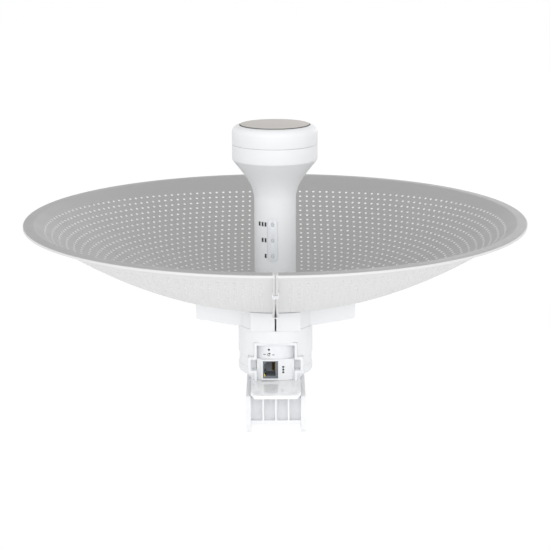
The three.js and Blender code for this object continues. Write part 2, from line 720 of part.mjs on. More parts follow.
add('ethernet_jack', ethernetJack(), jackGrey);
add('jack_contact_block', contactBlock(), gold);
add('jack_lamp', block(JACK_LAMP.x, [JACK.face, JACK.face + JACK_LAMP.depth], JACK_LAMP.z), yellowLamp);
add('reset_switch', resetSwitch(), darkPlastic);
add('reset_button', resetButton(), darkPlastic);

// ---------------------------------------------------------------- end plate and tilt lugs

function baseScrewPlaces() {
  return [[-11, -10], [11, -10], [-11, 11], [11, 11]];
}

function boltHole() {
  return rodAlongX(BOLT_RADIUS + CLEARANCE, -FAR, FAR, PIVOT.y, PIVOT.z);
}

function lug(side) {
  const shape = new THREE.Shape();
  const top = -149.5;
  shape.moveTo(PIVOT.y + LUG.radius, top);
  shape.lineTo(PIVOT.y - LUG.radius, top);
  shape.lineTo(PIVOT.y - LUG.radius, PIVOT.z);
  shape.absarc(PIVOT.y, PIVOT.z, LUG.radius, Math.PI, Math.PI * 2);
  return prismAlongX(shape, side > 0 ? LUG.inner : -LUG.outer, side > 0 ? LUG.outer : -LUG.inner);
}

// A disc that closes the base behind the port, with a foot that carries the two lugs.
function baseEndPlate() {
  const disc = turned([
    [0, BASE_BOTTOM], [END_PLATE_RADIUS, BASE_BOTTOM], [END_PLATE_RADIUS, END_PLATE_TOP], [0, END_PLATE_TOP],
  ]);
  const discBehindPort = cut(disc, block([-40, 40], [-40, PORT.back + CLEARANCE], [-160, -140]));
  const lugY = [PIVOT.y - LUG.radius, PIVOT.y + LUG.radius];
  const neck = block([-12, 12], [lugY[0], 14], [-149.8, -147]);
  const foot = block([-LUG.outer, LUG.outer], lugY, [FOOT_PLATE_BOTTOM, -149]);
  const plate = joined(discBehindPort, neck, foot, lug(-1), lug(1));
  return cut(plate, boltHole(), ...screwHoles(baseScrewPlaces(), -160, -140));
}

function baseSeal() {
  const [inner, outer, bottom, top] = [20.6, 22, -145.9, -144.5];
  const whole = ring([[inner, bottom], [outer, bottom], [outer, top], [inner, top]]);
  return cut(whole, block([-40, 40], [-40, PORT.back + 2.6], [-160, -140]));
}

function tiltSpacer() {
  const reach = LUG.inner - CLEARANCE;
  return cut(rodAlongX(6, -reach, reach, PIVOT.y, PIVOT.z), boltHole());
}

add('base_end_plate', baseEndPlate(), whitePlastic);
add('base_seal', baseSeal(), rubber);
baseScrewPlaces().forEach((place, i) => {
  const isUnderShelf = i < 2;
  const seat = isUnderShelf ? SHELF_FLANGE.top - SHELF.thickness : FOOT_PLATE_BOTTOM;
  add(`base_screw_${i + 1}`, panHeadScrew(place, seat - CLEARANCE - SCREW_HEAD, -1, 5.4), steel);
});
add('tilt_spacer', tiltSpacer(), aluminium);

// ---------------------------------------------------------------- pole bracket and its pivot

// A cheek is a round ear about the pivot that runs forward into an arm.
function cheek(side) {
  const top = PIVOT.z + CHEEK.earRadius;
  const bottom = PIVOT.z - CHEEK.earRadius;
  const round = CHEEK.bottomRound;
  const shape = new THREE.Shape();
  shape.absarc(PIVOT.y, PIVOT.z, CHEEK.earRadius, -Math.PI / 2, Math.PI / 2);
  shape.lineTo(CHEEK.front + CHEEK.topChamfer, top);
  shape.lineTo(CHEEK.front, top - CHEEK.topChamfer);
  shape.lineTo(CHEEK.front, bottom + round);
  shape.absarc(CHEEK.front + round, bottom + round, round, Math.PI, Math.PI * 1.5);
  return prismAlongX(shape, side > 0 ? CHEEK.inner : -CHEEK.outer, side > 0 ? CHEEK.outer : -CHEEK.inner);
}

function hexAlongX(acrossCorners, x0, x1) {
  return rodAlongX(acrossCorners / 2, x0, x1, PIVOT.y, PIVOT.z, 6);
}

// The wall behind the ribs, a quarter of an ellipse that sweeps forward at its foot into the floor.
function backWall(width) {
  const { thickness, top, toe, reach } = BACK_WALL;
  const drop = top - SADDLE.floorTop;
  const shape = new THREE.Shape();
  shape.absellipse(toe, top, reach, drop, 0, -Math.PI / 2, true);
  shape.absellipse(toe, top, reach + thickness, drop + thickness, -Math.PI / 2, 0);
  return prismAlongX(shape, ...width);
}

function poleBracket() {
  const inside = [-CHEEK.inner - 0.5, CHEEK.inner + 0.5];
  const underShelf = SHELF_FLANGE.top - SHELF.thickness - 0.9;
  const floor = block(inside, [SADDLE.front, SADDLE.rear], [SADDLE.floorBottom, SADDLE.floorTop]);
  const ribs = RIB_X.map((x) => block(
    widened([x, x], RIB_THICKNESS / 2),
    [SADDLE.front, BACK_WALL.toe + BACK_WALL.reach + 1],
    [SADDLE.floorTop - 1, underShelf]));
  return cut(joined(cheek(-1), cheek(1), floor, backWall(inside), ...ribs),
    boltHole(),
    rodAlongX(BOLT_HEAD_RADIUS + CLEARANCE, -FAR, -CHEEK.outer + HEAD_RECESS, PIVOT.y, PIVOT.z),
    hexAlongX(NUT_CORNERS + 2 * CLEARANCE, CHEEK.outer - HEAD_RECESS, FAR),
    block([-FAR, FAR], STRAP_SLOT.y, STRAP_SLOT.z));
}

// A socket-head bolt whose head sits in the left cheek.
function tiltBolt() {
  const face = -CHEEK.outer + 0.1;
  const underHead = -CHEEK.outer + HEAD_RECESS - CLEARANCE;
  const head = rodAlongX(BOLT_HEAD_RADIUS, face, underHead, PIVOT.y, PIVOT.z);
  const shaft = rodAlongX(BOLT_RADIUS, underHead - 0.5, CHEEK.outer - CLEARANCE, PIVOT.y, PIVOT.z);
  return cut(joined(head, shaft), hexAlongX(BOLT_SOCKET_CORNERS, -FAR, face + 1.2));
}

function tiltNut() {
  return cut(hexAlongX(NUT_CORNERS, CHEEK.outer - HEAD_RECESS + CLEARANCE, CHEEK.outer - 0.1), boltHole());
}

add('pole_bracket', poleBracket(), whitePlastic);
add('tilt_bolt', tiltBolt(), steel);
add('tilt_nut', tiltNut(), steel);

object.position.z = CHEEK.earRadius - PIVOT.z;

export default object;
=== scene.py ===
import json
import math

import bmesh
import bpy
import numpy as np
from mathutils import Matrix, Quaternion, Vector


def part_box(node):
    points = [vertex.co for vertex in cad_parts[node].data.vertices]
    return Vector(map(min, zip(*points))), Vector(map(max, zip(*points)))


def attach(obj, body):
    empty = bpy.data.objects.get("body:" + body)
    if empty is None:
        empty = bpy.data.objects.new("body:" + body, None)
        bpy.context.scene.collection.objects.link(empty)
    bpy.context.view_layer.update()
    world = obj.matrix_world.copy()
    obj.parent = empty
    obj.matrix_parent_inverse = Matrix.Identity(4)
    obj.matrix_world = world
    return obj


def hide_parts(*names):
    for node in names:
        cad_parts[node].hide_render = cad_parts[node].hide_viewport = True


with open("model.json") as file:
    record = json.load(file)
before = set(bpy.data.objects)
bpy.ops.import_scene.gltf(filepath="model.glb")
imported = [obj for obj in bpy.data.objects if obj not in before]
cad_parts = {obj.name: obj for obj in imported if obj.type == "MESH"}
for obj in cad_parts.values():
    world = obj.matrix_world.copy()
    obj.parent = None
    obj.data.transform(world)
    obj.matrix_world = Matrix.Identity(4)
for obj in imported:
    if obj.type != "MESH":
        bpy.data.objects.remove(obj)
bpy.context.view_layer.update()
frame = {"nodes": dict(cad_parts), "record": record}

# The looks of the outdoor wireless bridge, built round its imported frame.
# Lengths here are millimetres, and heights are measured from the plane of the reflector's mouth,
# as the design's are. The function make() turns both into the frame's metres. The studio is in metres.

MM = 0.001
MOUTH_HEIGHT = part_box("reflector_right")[1].z / MM
ROUND = 128
FINE_ROUND = 256


def extent(node):
    """A node's x, y and z ranges."""
    low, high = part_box(node)
    drop = (0, 0, MOUTH_HEIGHT)
    return [(a / MM - d, b / MM - d) for a, b, d in zip(low, high, drop)]


# ---------------------------------------------------------------- dimensions

# Reflector
RIM_RADIUS = extent("reflector_right")[0][1]
MOUTH_RADIUS = 216
HUB_RADIUS = 20.5
FOCAL_LENGTH = 150
SHEET = 1.2
HEM_DEPTH = 2.6
MOUTH_BEND = 2.5
HEM_BEND = 1.6
SEAM_GAP = 1.2
SEAM_SPREAD = 1.8
SEAM_SPREAD_AT = 100
SEAM_SPREAD_REACH = 36
SEAM_BEND = 1.6
SEAM_FLANGE = 5.7
SEAM_FLANGE_FROM = 36
SEAM_FLANGE_TO = 211
HOLE_PITCH = 7.1
HOLE_RADIUS = 1.3
RING_PITCH = 7.5
RING_COUNT = 25
OUTER_RING_RADIUS = 206
RING_OVALNESS = 0.045
HOLES_START = 12.5
HUB_ROWS = (HUB_RADIUS, 26, 32, 36)
LAST_BOWL_ROWS = (209.5, 211, 213)

# Feed tube and head
TUBE_RADIUS = 18.8
TUBE_WALL = 2.4
FOOT = {"radius": 30, "bottom": -75.9, "top": -73.4}
BELL_RADIUS = extent("feed_tube")[0][1]
BELL_START = 17
BELL_UPRIGHT = 13
BELL_PULL = (28, 40)
BELL_EDGE = 53
HEAD_SEAM = 66.7
CAP_SIDE_TOP = 77
CAP_TOP = extent("feed_cap")[2][1]
CAP_SEAT_DEPTH = 1.6
CAP_ROOF = 4
CAP_SPIGOT = {"inner": 32.4, "outer": 34.4, "depth": 4.5}
DISC_RADIUS = extent("cap_disc")[0][1]
FIT = 0.3
HAIRLINE = 0.1
PANEL_SIDE_GAP = 0.02

# Signal window, from its node's own place
WINDOW_X, _, WINDOW_Z = extent("led_window")
LENSES = {name: extent(f"led_lens_{name}") for name in ("strong", "medium", "weak")}
BAR_WIDTH = 1.6
BAR_HEIGHT = 3.8
BAR_PITCH = 2.6
PRINT = 0.08

# Carrier and base
CARRIER_BORE = 19.3
CARRIER_BOTTOM = extent("carrier_right")[2][0]
CARRIER_GAP = 1.5
WING_LENGTH = extent("carrier_right")[0][1]
WING_HALF_WIDTH = 13
WING = {"root": 30, "heel": 36, "top": -60, "tip_bottom": -91.3}
BLANK_TOP = -70
BLOCK_HALF_WIDTH = 22.7
BLOCK_FACE = extent("carrier_right")[1][1]
BLOCK_ROOT = 22
BLOCK_RELIEF = 30
RELIEF_DEPTH = 4
SCREW_PLACES = [(x * 17.68, y * 17.68) for x in (-1, 1) for y in (-1, 1)]
SCREW_HOLE = 2
BASE_RADIUS = extent("base_housing")[0][1]
BASE_BOTTOM, BASE_TOP = extent("base_housing")[2]
BASE_WAIST = {"radius": 33.1, "top": -124.4, "bottom": -133.6, "step": 0.7}
BASE_ROUND = 3
BASE_FLOOR = -141.8
BASE_NECK_RADIUS = 24.3
BASE_WALL = 2.4
END_PLATE_RADIUS = 22
END_PLATE_TOP = -146.2
END_SCREW_X = (-11, 11)
END_SCREW_Y = (-10, 11)
PORT = {
    "top": -112, "notch_top": -125.3, "notch_bottom": -135.6, "half_width": 17,
    "notch_half_width": 22.4, "rim": 2.4, "face": -30.5, "back": -19.6,
}
PANEL_RADIUS = 27
PANEL_THICKNESS = 2
PANEL_BAND = {"radius": 60, "face": -28.2, "top": -125.4}
PANEL_BAND_CENTRE = PANEL_BAND["face"] + PANEL_BAND["radius"]
BOSS_RIM = 1.6
JACK_X, JACK_Y, JACK_Z = extent("ethernet_jack")
JACK_SIDE = 2.2
CONTACTS = {"count": 8, "pitch": 1.02, "half_width": 0.25, "front": -22, "rear": -15.5}
RESET_X = sum(extent("reset_button")[0]) / 2
RESET_Z = sum(extent("reset_button")[2]) / 2
RESET_HOLE = 1
SHELF_X, SHELF_Y, SHELF_Z = extent("port_shelf")
SHELF_CHAMFER = (3.3, 11)
SHELF_THICKNESS = 3.1
PORT_FOOT = SHELF_Z[1] + 0.05
SHELF_RISER = (-27.2, -24.7)

# Pole bracket
PIVOT_Y = 8
PIVOT_Z = -168
CHEEK_OUTER = extent("pole_bracket")[0][1]
CHEEK_INNER = 22.3
CHEEK_FRONT = extent("pole_bracket")[1][0]
EAR_RADIUS = 17.5
LEG_ROUND = 6.5
LUG = {"inner": 17.6, "outer": 21.9, "radius": 10, "foot": -151.6}
FLOOR_Z = (-177.3, -174.1)
FLOOR_Y = (-56, -3)
WALL_TOP = -156
WALL_TOE = -54
WALL_REACH = 9
WALL_THICKNESS = 2.4
RIB_X = (-11.3, 0, 11.3)
RIB_HALF = 0.8
RIB_TOP = SHELF_Z[0] - 0.9
STRAP_Y = (-24, -9)
STRAP_Z = (-173.8, -168.6)
BOLT_RADIUS = 2.9
BOLT_HEAD_RADIUS = 4.7
NUT_RADIUS = 4.6
HEAD_RECESS = 2

FAR = 400
HANDS = ((-1, "left"), (1, "right"))


# ---------------------------------------------------------------- mesh helpers

def make(name, vertices, faces):
    """A mesh object from points in millimetres above the mouth's plane."""
    points = np.asarray(vertices, float) * MM
    points[:, 2] += MOUTH_HEIGHT * MM
    mesh = bpy.data.meshes.new(name)
    mesh.from_pydata(points.tolist(), [], faces)
    obj = bpy.data.objects.new(name, mesh)
    bpy.context.scene.collection.objects.link(obj)
    return obj


def tidy(obj):
    """Merges doubled points and turns every face outward."""
    edit = bmesh.new()
    edit.from_mesh(obj.data)
    bmesh.ops.remove_doubles(edit, verts=edit.verts, dist=1e-7)
    bmesh.ops.recalc_face_normals(edit, faces=edit.faces)
    edit.to_mesh(obj.data)
    edit.free()
    return obj


def outline(corners, steps=5):
    """Points of an outline. A corner (u, v, radius) is rounded, and a corner (u, v) stays sharp."""
    points = []
    for i, corner in enumerate(corners):
        here = Vector(corner[:2])
        if len(corner) < 3:
            points.append(tuple(here))
            continue
        back = Vector(corners[i - 1][:2]) - here
        ahead = Vector(corners[(i + 1) % len(corners)][:2]) - here
        reach = corner[2] / math.tan(back.angle(ahead) / 2)
        reach = min(reach, 0.48 * back.length, 0.48 * ahead.length)
        start, end = here + back.normalized() * reach, here + ahead.normalized() * reach
        for k in range(steps + 1):
            t = k / steps
            points.append(tuple((1 - t) ** 2 * start + 2 * t * (1 - t) * here + t * t * end))
    return points


def mirrored(right_edge):
    """A whole outline from its right edge, listed from one end of the mirror line to the other."""
    left_edge = [(-corner[0], *corner[1:]) for corner in reversed(right_edge)]
    return right_edge + left_edge


def turned(name, corners, segments=ROUND):
    """A solid of revolution about Z from a closed outline of (radius, height) corners."""
    profile = outline(corners)
    turns = [2 * math.pi * (k + 0.5) / segments for k in range(segments)]
    vertices = [(r * math.sin(a), -r * math.cos(a), z) for a in turns for r, z in profile]
    n = len(profile)
    faces = []
    for k in range(segments):
        here, following = k * n, ((k + 1) % segments) * n
        for i in range(n):
            j = (i + 1) % n
            if profile[i][0] > 0 or profile[j][0] > 0:
                faces.append((here + i, here + j, following + j, following + i))
    return tidy(make(name, vertices, faces))


def prism(name, corners, axis, low, high):
    """A straight prism along an axis, from corners in the other two axes, in x, y, z order."""
    profile = outline(corners)
    vertices = []
    for end in (low, high):
        for u, v in profile:
            vertices.append({"x": (end, u, v), "y": (u, end, v), "z": (u, v, end)}[axis])
    n = len(profile)
    sides = [(i, (i + 1) % n, n + (i + 1) % n, n + i) for i in range(n)]
    caps = [tuple(range(n)), tuple(range(n, 2 * n))]
    return tidy(make(name, vertices, sides + caps))


def corners_of(u, v, *radius):
    """The corners of the rectangle over two ranges, all sharp or all rounded alike."""
    return [(u[i], v[j], *radius) for i, j in ((0, 0), (1, 0), (1, 1), (0, 1))]


def block(name, x, y, z):
    return prism(name, corners_of(x, y), "z", *z)


def arc(centre, radius, start, end, steps=24):
    """Points of an arc in a plane, its angles in degrees."""
    angles = [math.radians(start + (end - start) * k / steps) for k in range(steps + 1)]
    return [(centre[0] + radius * math.cos(a), centre[1] + radius * math.sin(a)) for a in angles]


def rod(name, axis, radius, low, high, u=0, v=0, segments=48):
    circle = arc((u, v), radius, 0, 360 - 360 / segments, segments - 1)
    return prism(name, circle, axis, low, high)


def slot_outline(u, v, half_width, half_height):
    """An upright slot with round ends."""
    straight = half_height - half_width
    return arc((u, v + straight), half_width, 0, 180) + arc((u, v - straight), half_width, 180, 360)


def widened(span, by):
    return (span[0] - by, span[1] + by)


def bake(obj):
    """Replaces the mesh by the result of the object's modifiers."""
    graph = bpy.context.evaluated_depsgraph_get()
    result = bpy.data.meshes.new_from_object(obj.evaluated_get(graph))
    result.name = obj.name
    obj.modifiers.clear()
    obj.data = result


def combine(obj, operation, *others):
    """Joins, cuts or intersects a solid with others, which are used up."""
    for other in others:
        step = obj.modifiers.new("combine", "BOOLEAN")
        step.operation = operation
        step.solver = "MANIFOLD"
        step.object = other
        bake(obj)
        bpy.data.objects.remove(other)
    return obj


def join(obj, *others):
    return combine(obj, "UNION", *others)


def cut(obj, *others):
    return combine(obj, "DIFFERENCE", *others)


def common(obj, other):
    return combine(obj, "INTERSECT", other)


def smooth(obj, angle=32):
    obj.data.shade_smooth()
    obj.data.set_sharp_from_angle(angle=math.radians(angle))
    return obj


def soften(obj, width, segments=2, angle=32):
    """Rounds every edge sharper than the angle."""
    step = obj.modifiers.new("soften", "BEVEL")
    step.width = width * MM
    step.segments = segments
    step.limit_method = "ANGLE"
    step.angle_limit = math.radians(angle)
    step.use_clamp_overlap = True
    bake(obj)
    return smooth(obj)


# ---------------------------------------------------------------- materials

class Finish:
    """One procedural material: colour drift, fine grain in the surface, and softly rounded edges."""

    def __init__(self, name):
        self.material = bpy.data.materials.new(name)
        self.material.use_nodes = True
        self.nodes = self.material.node_tree.nodes
        self.links = self.material.node_tree.links
        self.shader = self.nodes["Principled BSDF"]
        self.place = self.nodes.new("ShaderNodeTexCoord").outputs["Object"]

    def set(self, **values):
        for socket, value in values.items():
            self.shader.inputs[socket.replace("_", " ")].default_value = value

    def noise(self, size, detail=2.0, stretch=(1, 1, 1)):
        """Noise whose features are about the given size in millimetres."""
        mapping = self.nodes.new("ShaderNodeMapping")
        mapping.inputs["Scale"].default_value = stretch
        self.links.new(self.place, mapping.inputs["Vector"])
        noise = self.nodes.new("ShaderNodeTexNoise")
        noise.inputs["Scale"].default_value = 1 / (size * MM)
        noise.inputs["Detail"].default_value = detail
        self.links.new(mapping.outputs["Vector"], noise.inputs["Vector"])
        return noise.outputs["Fac"]

    def span(self, value, low, high):
        """Stretches a 0.3 to 0.7 noise over a range."""
        reach = self.nodes.new("ShaderNodeMapRange")
        reach.inputs["From Min"].default_value = 0.3
        reach.inputs["From Max"].default_value = 0.7
        reach.inputs["To Min"].default_value = low
        reach.inputs["To Max"].default_value = high
        self.links.new(value, reach.inputs["Value"])
        return reach.outputs["Result"]

    def mix(self, value, color):
        """Makes the base colour a mix that reaches a colour at 1. Returns the socket of its start."""
        mix = self.nodes.new("ShaderNodeMix")
        mix.data_type = "RGBA"
        mix.inputs["B"].default_value = (*color, 1)
        self.links.new(value, mix.inputs["Factor"])
        self.links.new(mix.outputs["Result"], self.shader.inputs["Base Color"])
        return mix.inputs["A"]

    def tint(self, value, first, second):
        """A colour that drifts between two colours with a value."""
        self.mix(value, second).default_value = (*first, 1)

    def blend(self, value, color):
        """Passes from the colour so far to another as a value goes from 0 to 1."""
        so_far = self.shader.inputs["Base Color"].links[0].from_socket
        self.links.new(so_far, self.mix(value, color))

    def grain(self, value, depth, edge=0.25):
        """Relief of the given depth over edges rounded to the given radius, both in millimetres."""
        bump = self.nodes.new("ShaderNodeBump")
        bump.inputs["Distance"].default_value = depth * MM
        self.links.new(value, bump.inputs["Height"])
        if edge:
            bevel = self.nodes.new("ShaderNodeBevel")
            bevel.samples = 4
            bevel.inputs["Radius"].default_value = edge * MM
            self.links.new(bevel.outputs["Normal"], bump.inputs["Normal"])
        self.links.new(bump.outputs["Normal"], self.shader.inputs["Normal"])


def shaded(color, by):
    return tuple(min(1, channel * by) for channel in color)


def moulded(name, color, roughness, grain_size=0.6, grain_depth=0.02, **more):
    """Moulded plastic: a fine spark-eroded grain and a faint drift in tone and gloss."""
    finish = Finish(name)
    finish.set(**more)
    drift = finish.span(finish.noise(60), 0, 1)
    finish.tint(drift, shaded(color, 0.985), shaded(color, 1.01))
    gloss = finish.span(finish.noise(9, 3), roughness - 0.03, roughness + 0.04)
    finish.links.new(gloss, finish.shader.inputs["Roughness"])
    finish.grain(finish.noise(grain_size, 3), grain_depth)
    return finish.material


def powder_coat(name, shaded_inner_color, lit_outer_color):
    """Satin powder coat: an orange-peel surface with a fine speckle, painted paler outside the bowl. The
    real coat is one grey: the darker inner tone is painted shade and the paler outer tone painted light.
    """
    finish = Finish(name)
    speckle = finish.span(finish.noise(0.5, 4), 0, 1)
    finish.tint(speckle, shaded(shaded_inner_color, 0.97), shaded(shaded_inner_color, 1.02))
    # Painted light: a face attribute blends the painted-shade inner tone towards the paler outer tone.
    painted_light_share = finish.nodes.new("ShaderNodeAttribute")
    painted_light_share.attribute_name = PAINTED_LIGHT_ATTRIBUTE
    finish.blend(painted_light_share.outputs["Fac"], lit_outer_color)
    gloss = finish.span(finish.noise(25, 3), 0.42, 0.5)
    finish.links.new(gloss, finish.shader.inputs["Roughness"])
    finish.grain(finish.noise(1.4, 3), 0.02, edge=0)
    return finish.material


def inlaid_disc(name, color, edge_shade_color):
    """A matt disc whose steep edge faces are painted dark, as painted shade in the gap round the disc."""
    finish = Finish(name)
    drift = finish.span(finish.noise(40), 0, 1)
    finish.tint(drift, shaded(color, 0.98), shaded(color, 1.01))
    # Painted shade: faces that turn away from upright take the dark edge colour.
    normal = finish.nodes.new("ShaderNodeSeparateXYZ")
    finish.links.new(finish.nodes.new("ShaderNodeNewGeometry").outputs["Normal"], normal.inputs["Vector"])
    painted_edge_shade = finish.nodes.new("ShaderNodeMapRange")
    painted_edge_shade.inputs["From Min"].default_value = 0.95
    painted_edge_shade.inputs["From Max"].default_value = 0.6
    finish.links.new(normal.outputs["Z"], painted_edge_shade.inputs["Value"])
    finish.blend(painted_edge_shade.outputs["Result"], edge_shade_color)
    finish.set(Roughness=0.45)
    finish.grain(finish.noise(0.4, 3), 0.02)
    return finish.material


def bare_metal(name, color, roughness, brushed=(1, 1, 1)):
    """Bare metal with fine marks left by its making."""
    finish = Finish(name)
    finish.set(Metallic=1.0)
    marks = finish.noise(0.4, 4, brushed)
    finish.tint(finish.span(marks, 0, 1), shaded(color, 0.93), color)
    gloss = finish.span(marks, roughness - 0.06, roughness + 0.08)
    finish.links.new(gloss, finish.shader.inputs["Roughness"])
    finish.grain(marks, 0.01, edge=0.15)
    return finish.material


def circuit_board(name):
    """Green solder mask with darker tracks."""
    finish = Finish(name)
    tracks = finish.span(finish.noise(2.5, 0, (1, 1, 6)), 0, 1)
    finish.tint(tracks, (0.012, 0.075, 0.03), (0.03, 0.16, 0.07))
    finish.set(Roughness=0.35)
    finish.grain(tracks, 0.03)
    return finish.material


def studio_floor():
    """A pale floor. The camera sees more of its glow than the object does, so its shadows are faint."""
    finish = Finish("studio_floor")
    finish.set(Roughness=0.9, Specular_IOR_Level=0.0)
    finish.tint(finish.span(finish.noise(400), 0, 1), (0.93, 0.93, 0.93), (0.95, 0.95, 0.95))
    glow = finish.nodes.new("ShaderNodeEmission")
    glow.inputs["Strength"].default_value = FLOOR_GLOW
    share = finish.nodes.new("ShaderNodeMapRange")
    share.inputs["To Min"].default_value = FLOOR_SHARE_FOR_OBJECT
    share.inputs["To Max"].default_value = FLOOR_SHARE_FOR_CAMERA
    path = finish.nodes.new("ShaderNodeLightPath")
    finish.links.new(path.outputs["Is Camera Ray"], share.inputs["Value"])
    mix = finish.nodes.new("ShaderNodeMixShader")
    finish.links.new(share.outputs["Result"], mix.inputs["Fac"])
    finish.links.new(finish.shader.outputs["BSDF"], mix.inputs[1])
    finish.links.new(glow.outputs["Emission"], mix.inputs[2])
    finish.links.new(mix.outputs["Shader"], finish.nodes["Material Output"].inputs["Surface"])
    return finish.material


FLOOR_GLOW = 1.06
FLOOR_SHARE_FOR_OBJECT = 0.6
FLOOR_SHARE_FOR_CAMERA = 0.85
PAINTED_LIGHT_ATTRIBUTE = "painted_light_share"

# How far the coat passes from its painted-shade inner tone to its painted-light outer tone. The upper face
# stays at 0.
HOLE_WALL_LIGHT_SHARE = 1
OTHER_FACE_LIGHT_SHARE = 0.8
# A strip of the upper face along the hem takes the outer tone too, as a painted highlight.
HEM_HIGHLIGHT_WIDTH = 0.35

WHITE = (0.805, 0.815, 0.83)

finishes = {
    # The inner grey is painted shade and the outer grey painted light; the real coat is one grey.
    "reflector_coating": powder_coat("reflector_coating", (0.45, 0.45, 0.45), (0.79, 0.79, 0.79)),
    "white_plastic": moulded("white_plastic", WHITE, 0.42),
    # A paler copy of the white plastic: painted light on the feed tube and cap, which the dish shades.
    "painted_light_white_plastic": moulded("painted_light_white_plastic", (0.89, 0.9, 0.915), 0.42),
    "gloss_plastic": moulded("gloss_plastic", (0.95, 0.955, 0.96), 0.02, 3, 0.002, IOR=1.8),
    # The disc's dark edge colour is painted shade.
    "warm_grey_plastic": inlaid_disc("warm_grey_plastic", (0.62, 0.59, 0.555), (0.12, 0.12, 0.12)),
    "window_plastic": moulded("window_plastic", (0.86, 0.88, 0.905), 0.3, 0.6, 0.008),
    "lens_plastic": moulded("lens_plastic", (0.70, 0.74, 0.79), 0.15, 1, 0.004, Coat_Weight=0.6),
    "dark_plastic": moulded("dark_plastic", (0.035, 0.036, 0.04), 0.4),
    "jack_plastic": moulded("jack_plastic", (0.16, 0.175, 0.2), 0.3, 0.5, 0.01),
    "gold_contacts": bare_metal("gold_contacts", (0.5, 0.37, 0.16), 0.35, (1, 4, 4)),
    "yellow_lamp": moulded("yellow_lamp", (0.72, 0.55, 0.12), 0.2, 1, 0.004, Coat_Weight=0.5),
    "circuit_board": circuit_board("circuit_board"),
    "copper": bare_metal("copper", (0.72, 0.43, 0.28), 0.3),
    "aluminium": bare_metal("aluminium", (0.72, 0.73, 0.75), 0.35, (1, 1, 8)),
    "steel": bare_metal("steel", (0.6, 0.61, 0.63), 0.28),
    "rubber": moulded("rubber", (0.03, 0.03, 0.032), 0.75, 0.3, 0.03),
    "cable_jacket": moulded("cable_jacket", (0.02, 0.02, 0.022), 0.5, 0.5, 0.01),
    "print": moulded("print", (0.045, 0.048, 0.055), 0.5, 0.3, 0.004),
}


def dress(obj, finish):
    obj.data.materials.clear()
    obj.data.materials.append(finishes[finish])


def piece(obj, slot, *stands_for, body="antenna", finish=None):
    """Gives a finished piece its body and its material, which is the slot's unless a finish is named, and
    hides the nodes it stands for.
    """
    dress(obj, finish or slot)
    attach(obj, body)
    if stands_for:
        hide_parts(*stands_for)


for part in frame["record"]["subparts"]:
    dress(frame["nodes"][part["node"]], part["material_slot"])


# ---------------------------------------------------------------- reflector

def bowl_row(radius):
    """A point of the bowl's inner surface and its normal: radius, height, and the normal's two parts."""
    slope = math.atan(radius / (2 * FOCAL_LENGTH))
    height = (radius ** 2 - MOUTH_RADIUS ** 2) / (4 * FOCAL_LENGTH)
    return (radius, height, -math.sin(slope), math.cos(slope))


def bend_rows(centre, radius, start, end, steps):
    """Points of a bend in the sheet as its normal tips from one angle to another, from upright."""
    rows = []
    for k in range(steps + 1):
        tip = start + (end - start) * k / steps
        r, z = centre[0] + radius * math.sin(tip), centre[1] + radius * math.cos(tip)
        rows.append((r, z, math.sin(tip), math.cos(tip)))
    return rows


def rim_rows():
    """The sheet from the last ring of holes over the mouth's bend and the lip to the hem's edge."""
    slope = math.atan(MOUTH_RADIUS / (2 * FOCAL_LENGTH))
    mouth = (MOUTH_RADIUS + MOUTH_BEND * math.tan(slope / 2), -MOUTH_BEND)
    hem = (RIM_RADIUS - HEM_BEND, -HEM_BEND)
    return [
        *[bowl_row(radius) for radius in LAST_BOWL_ROWS],
        *bend_rows(mouth, MOUTH_BEND, -slope, 0, 4),
        (RIM_RADIUS - 5, 0, 0, 1),
        *bend_rows(hem, HEM_BEND, 0, math.pi / 2, 5),
        (RIM_RADIUS, -HEM_DEPTH, 1, 0),
    ]


def meridian_length(radius):
    """Distance along the bowl from its axis."""
    k = 2 * FOCAL_LENGTH
    return radius / 2 * math.hypot(1, radius / k) + k / 2 * math.asinh(radius / k)


LENGTH_RADII = np.linspace(0, MOUTH_RADIUS, 400)
LENGTHS = np.array([meridian_length(radius) for radius in LENGTH_RADII])


def ring_row(length, turn):
    """A point of the bowl on a ring. The rings are drawn in a little towards the seam."""
    radius = float(np.interp(length, LENGTHS, LENGTH_RADII))
    return bowl_row(radius * (1 - RING_OVALNESS * math.cos(turn) ** 2))


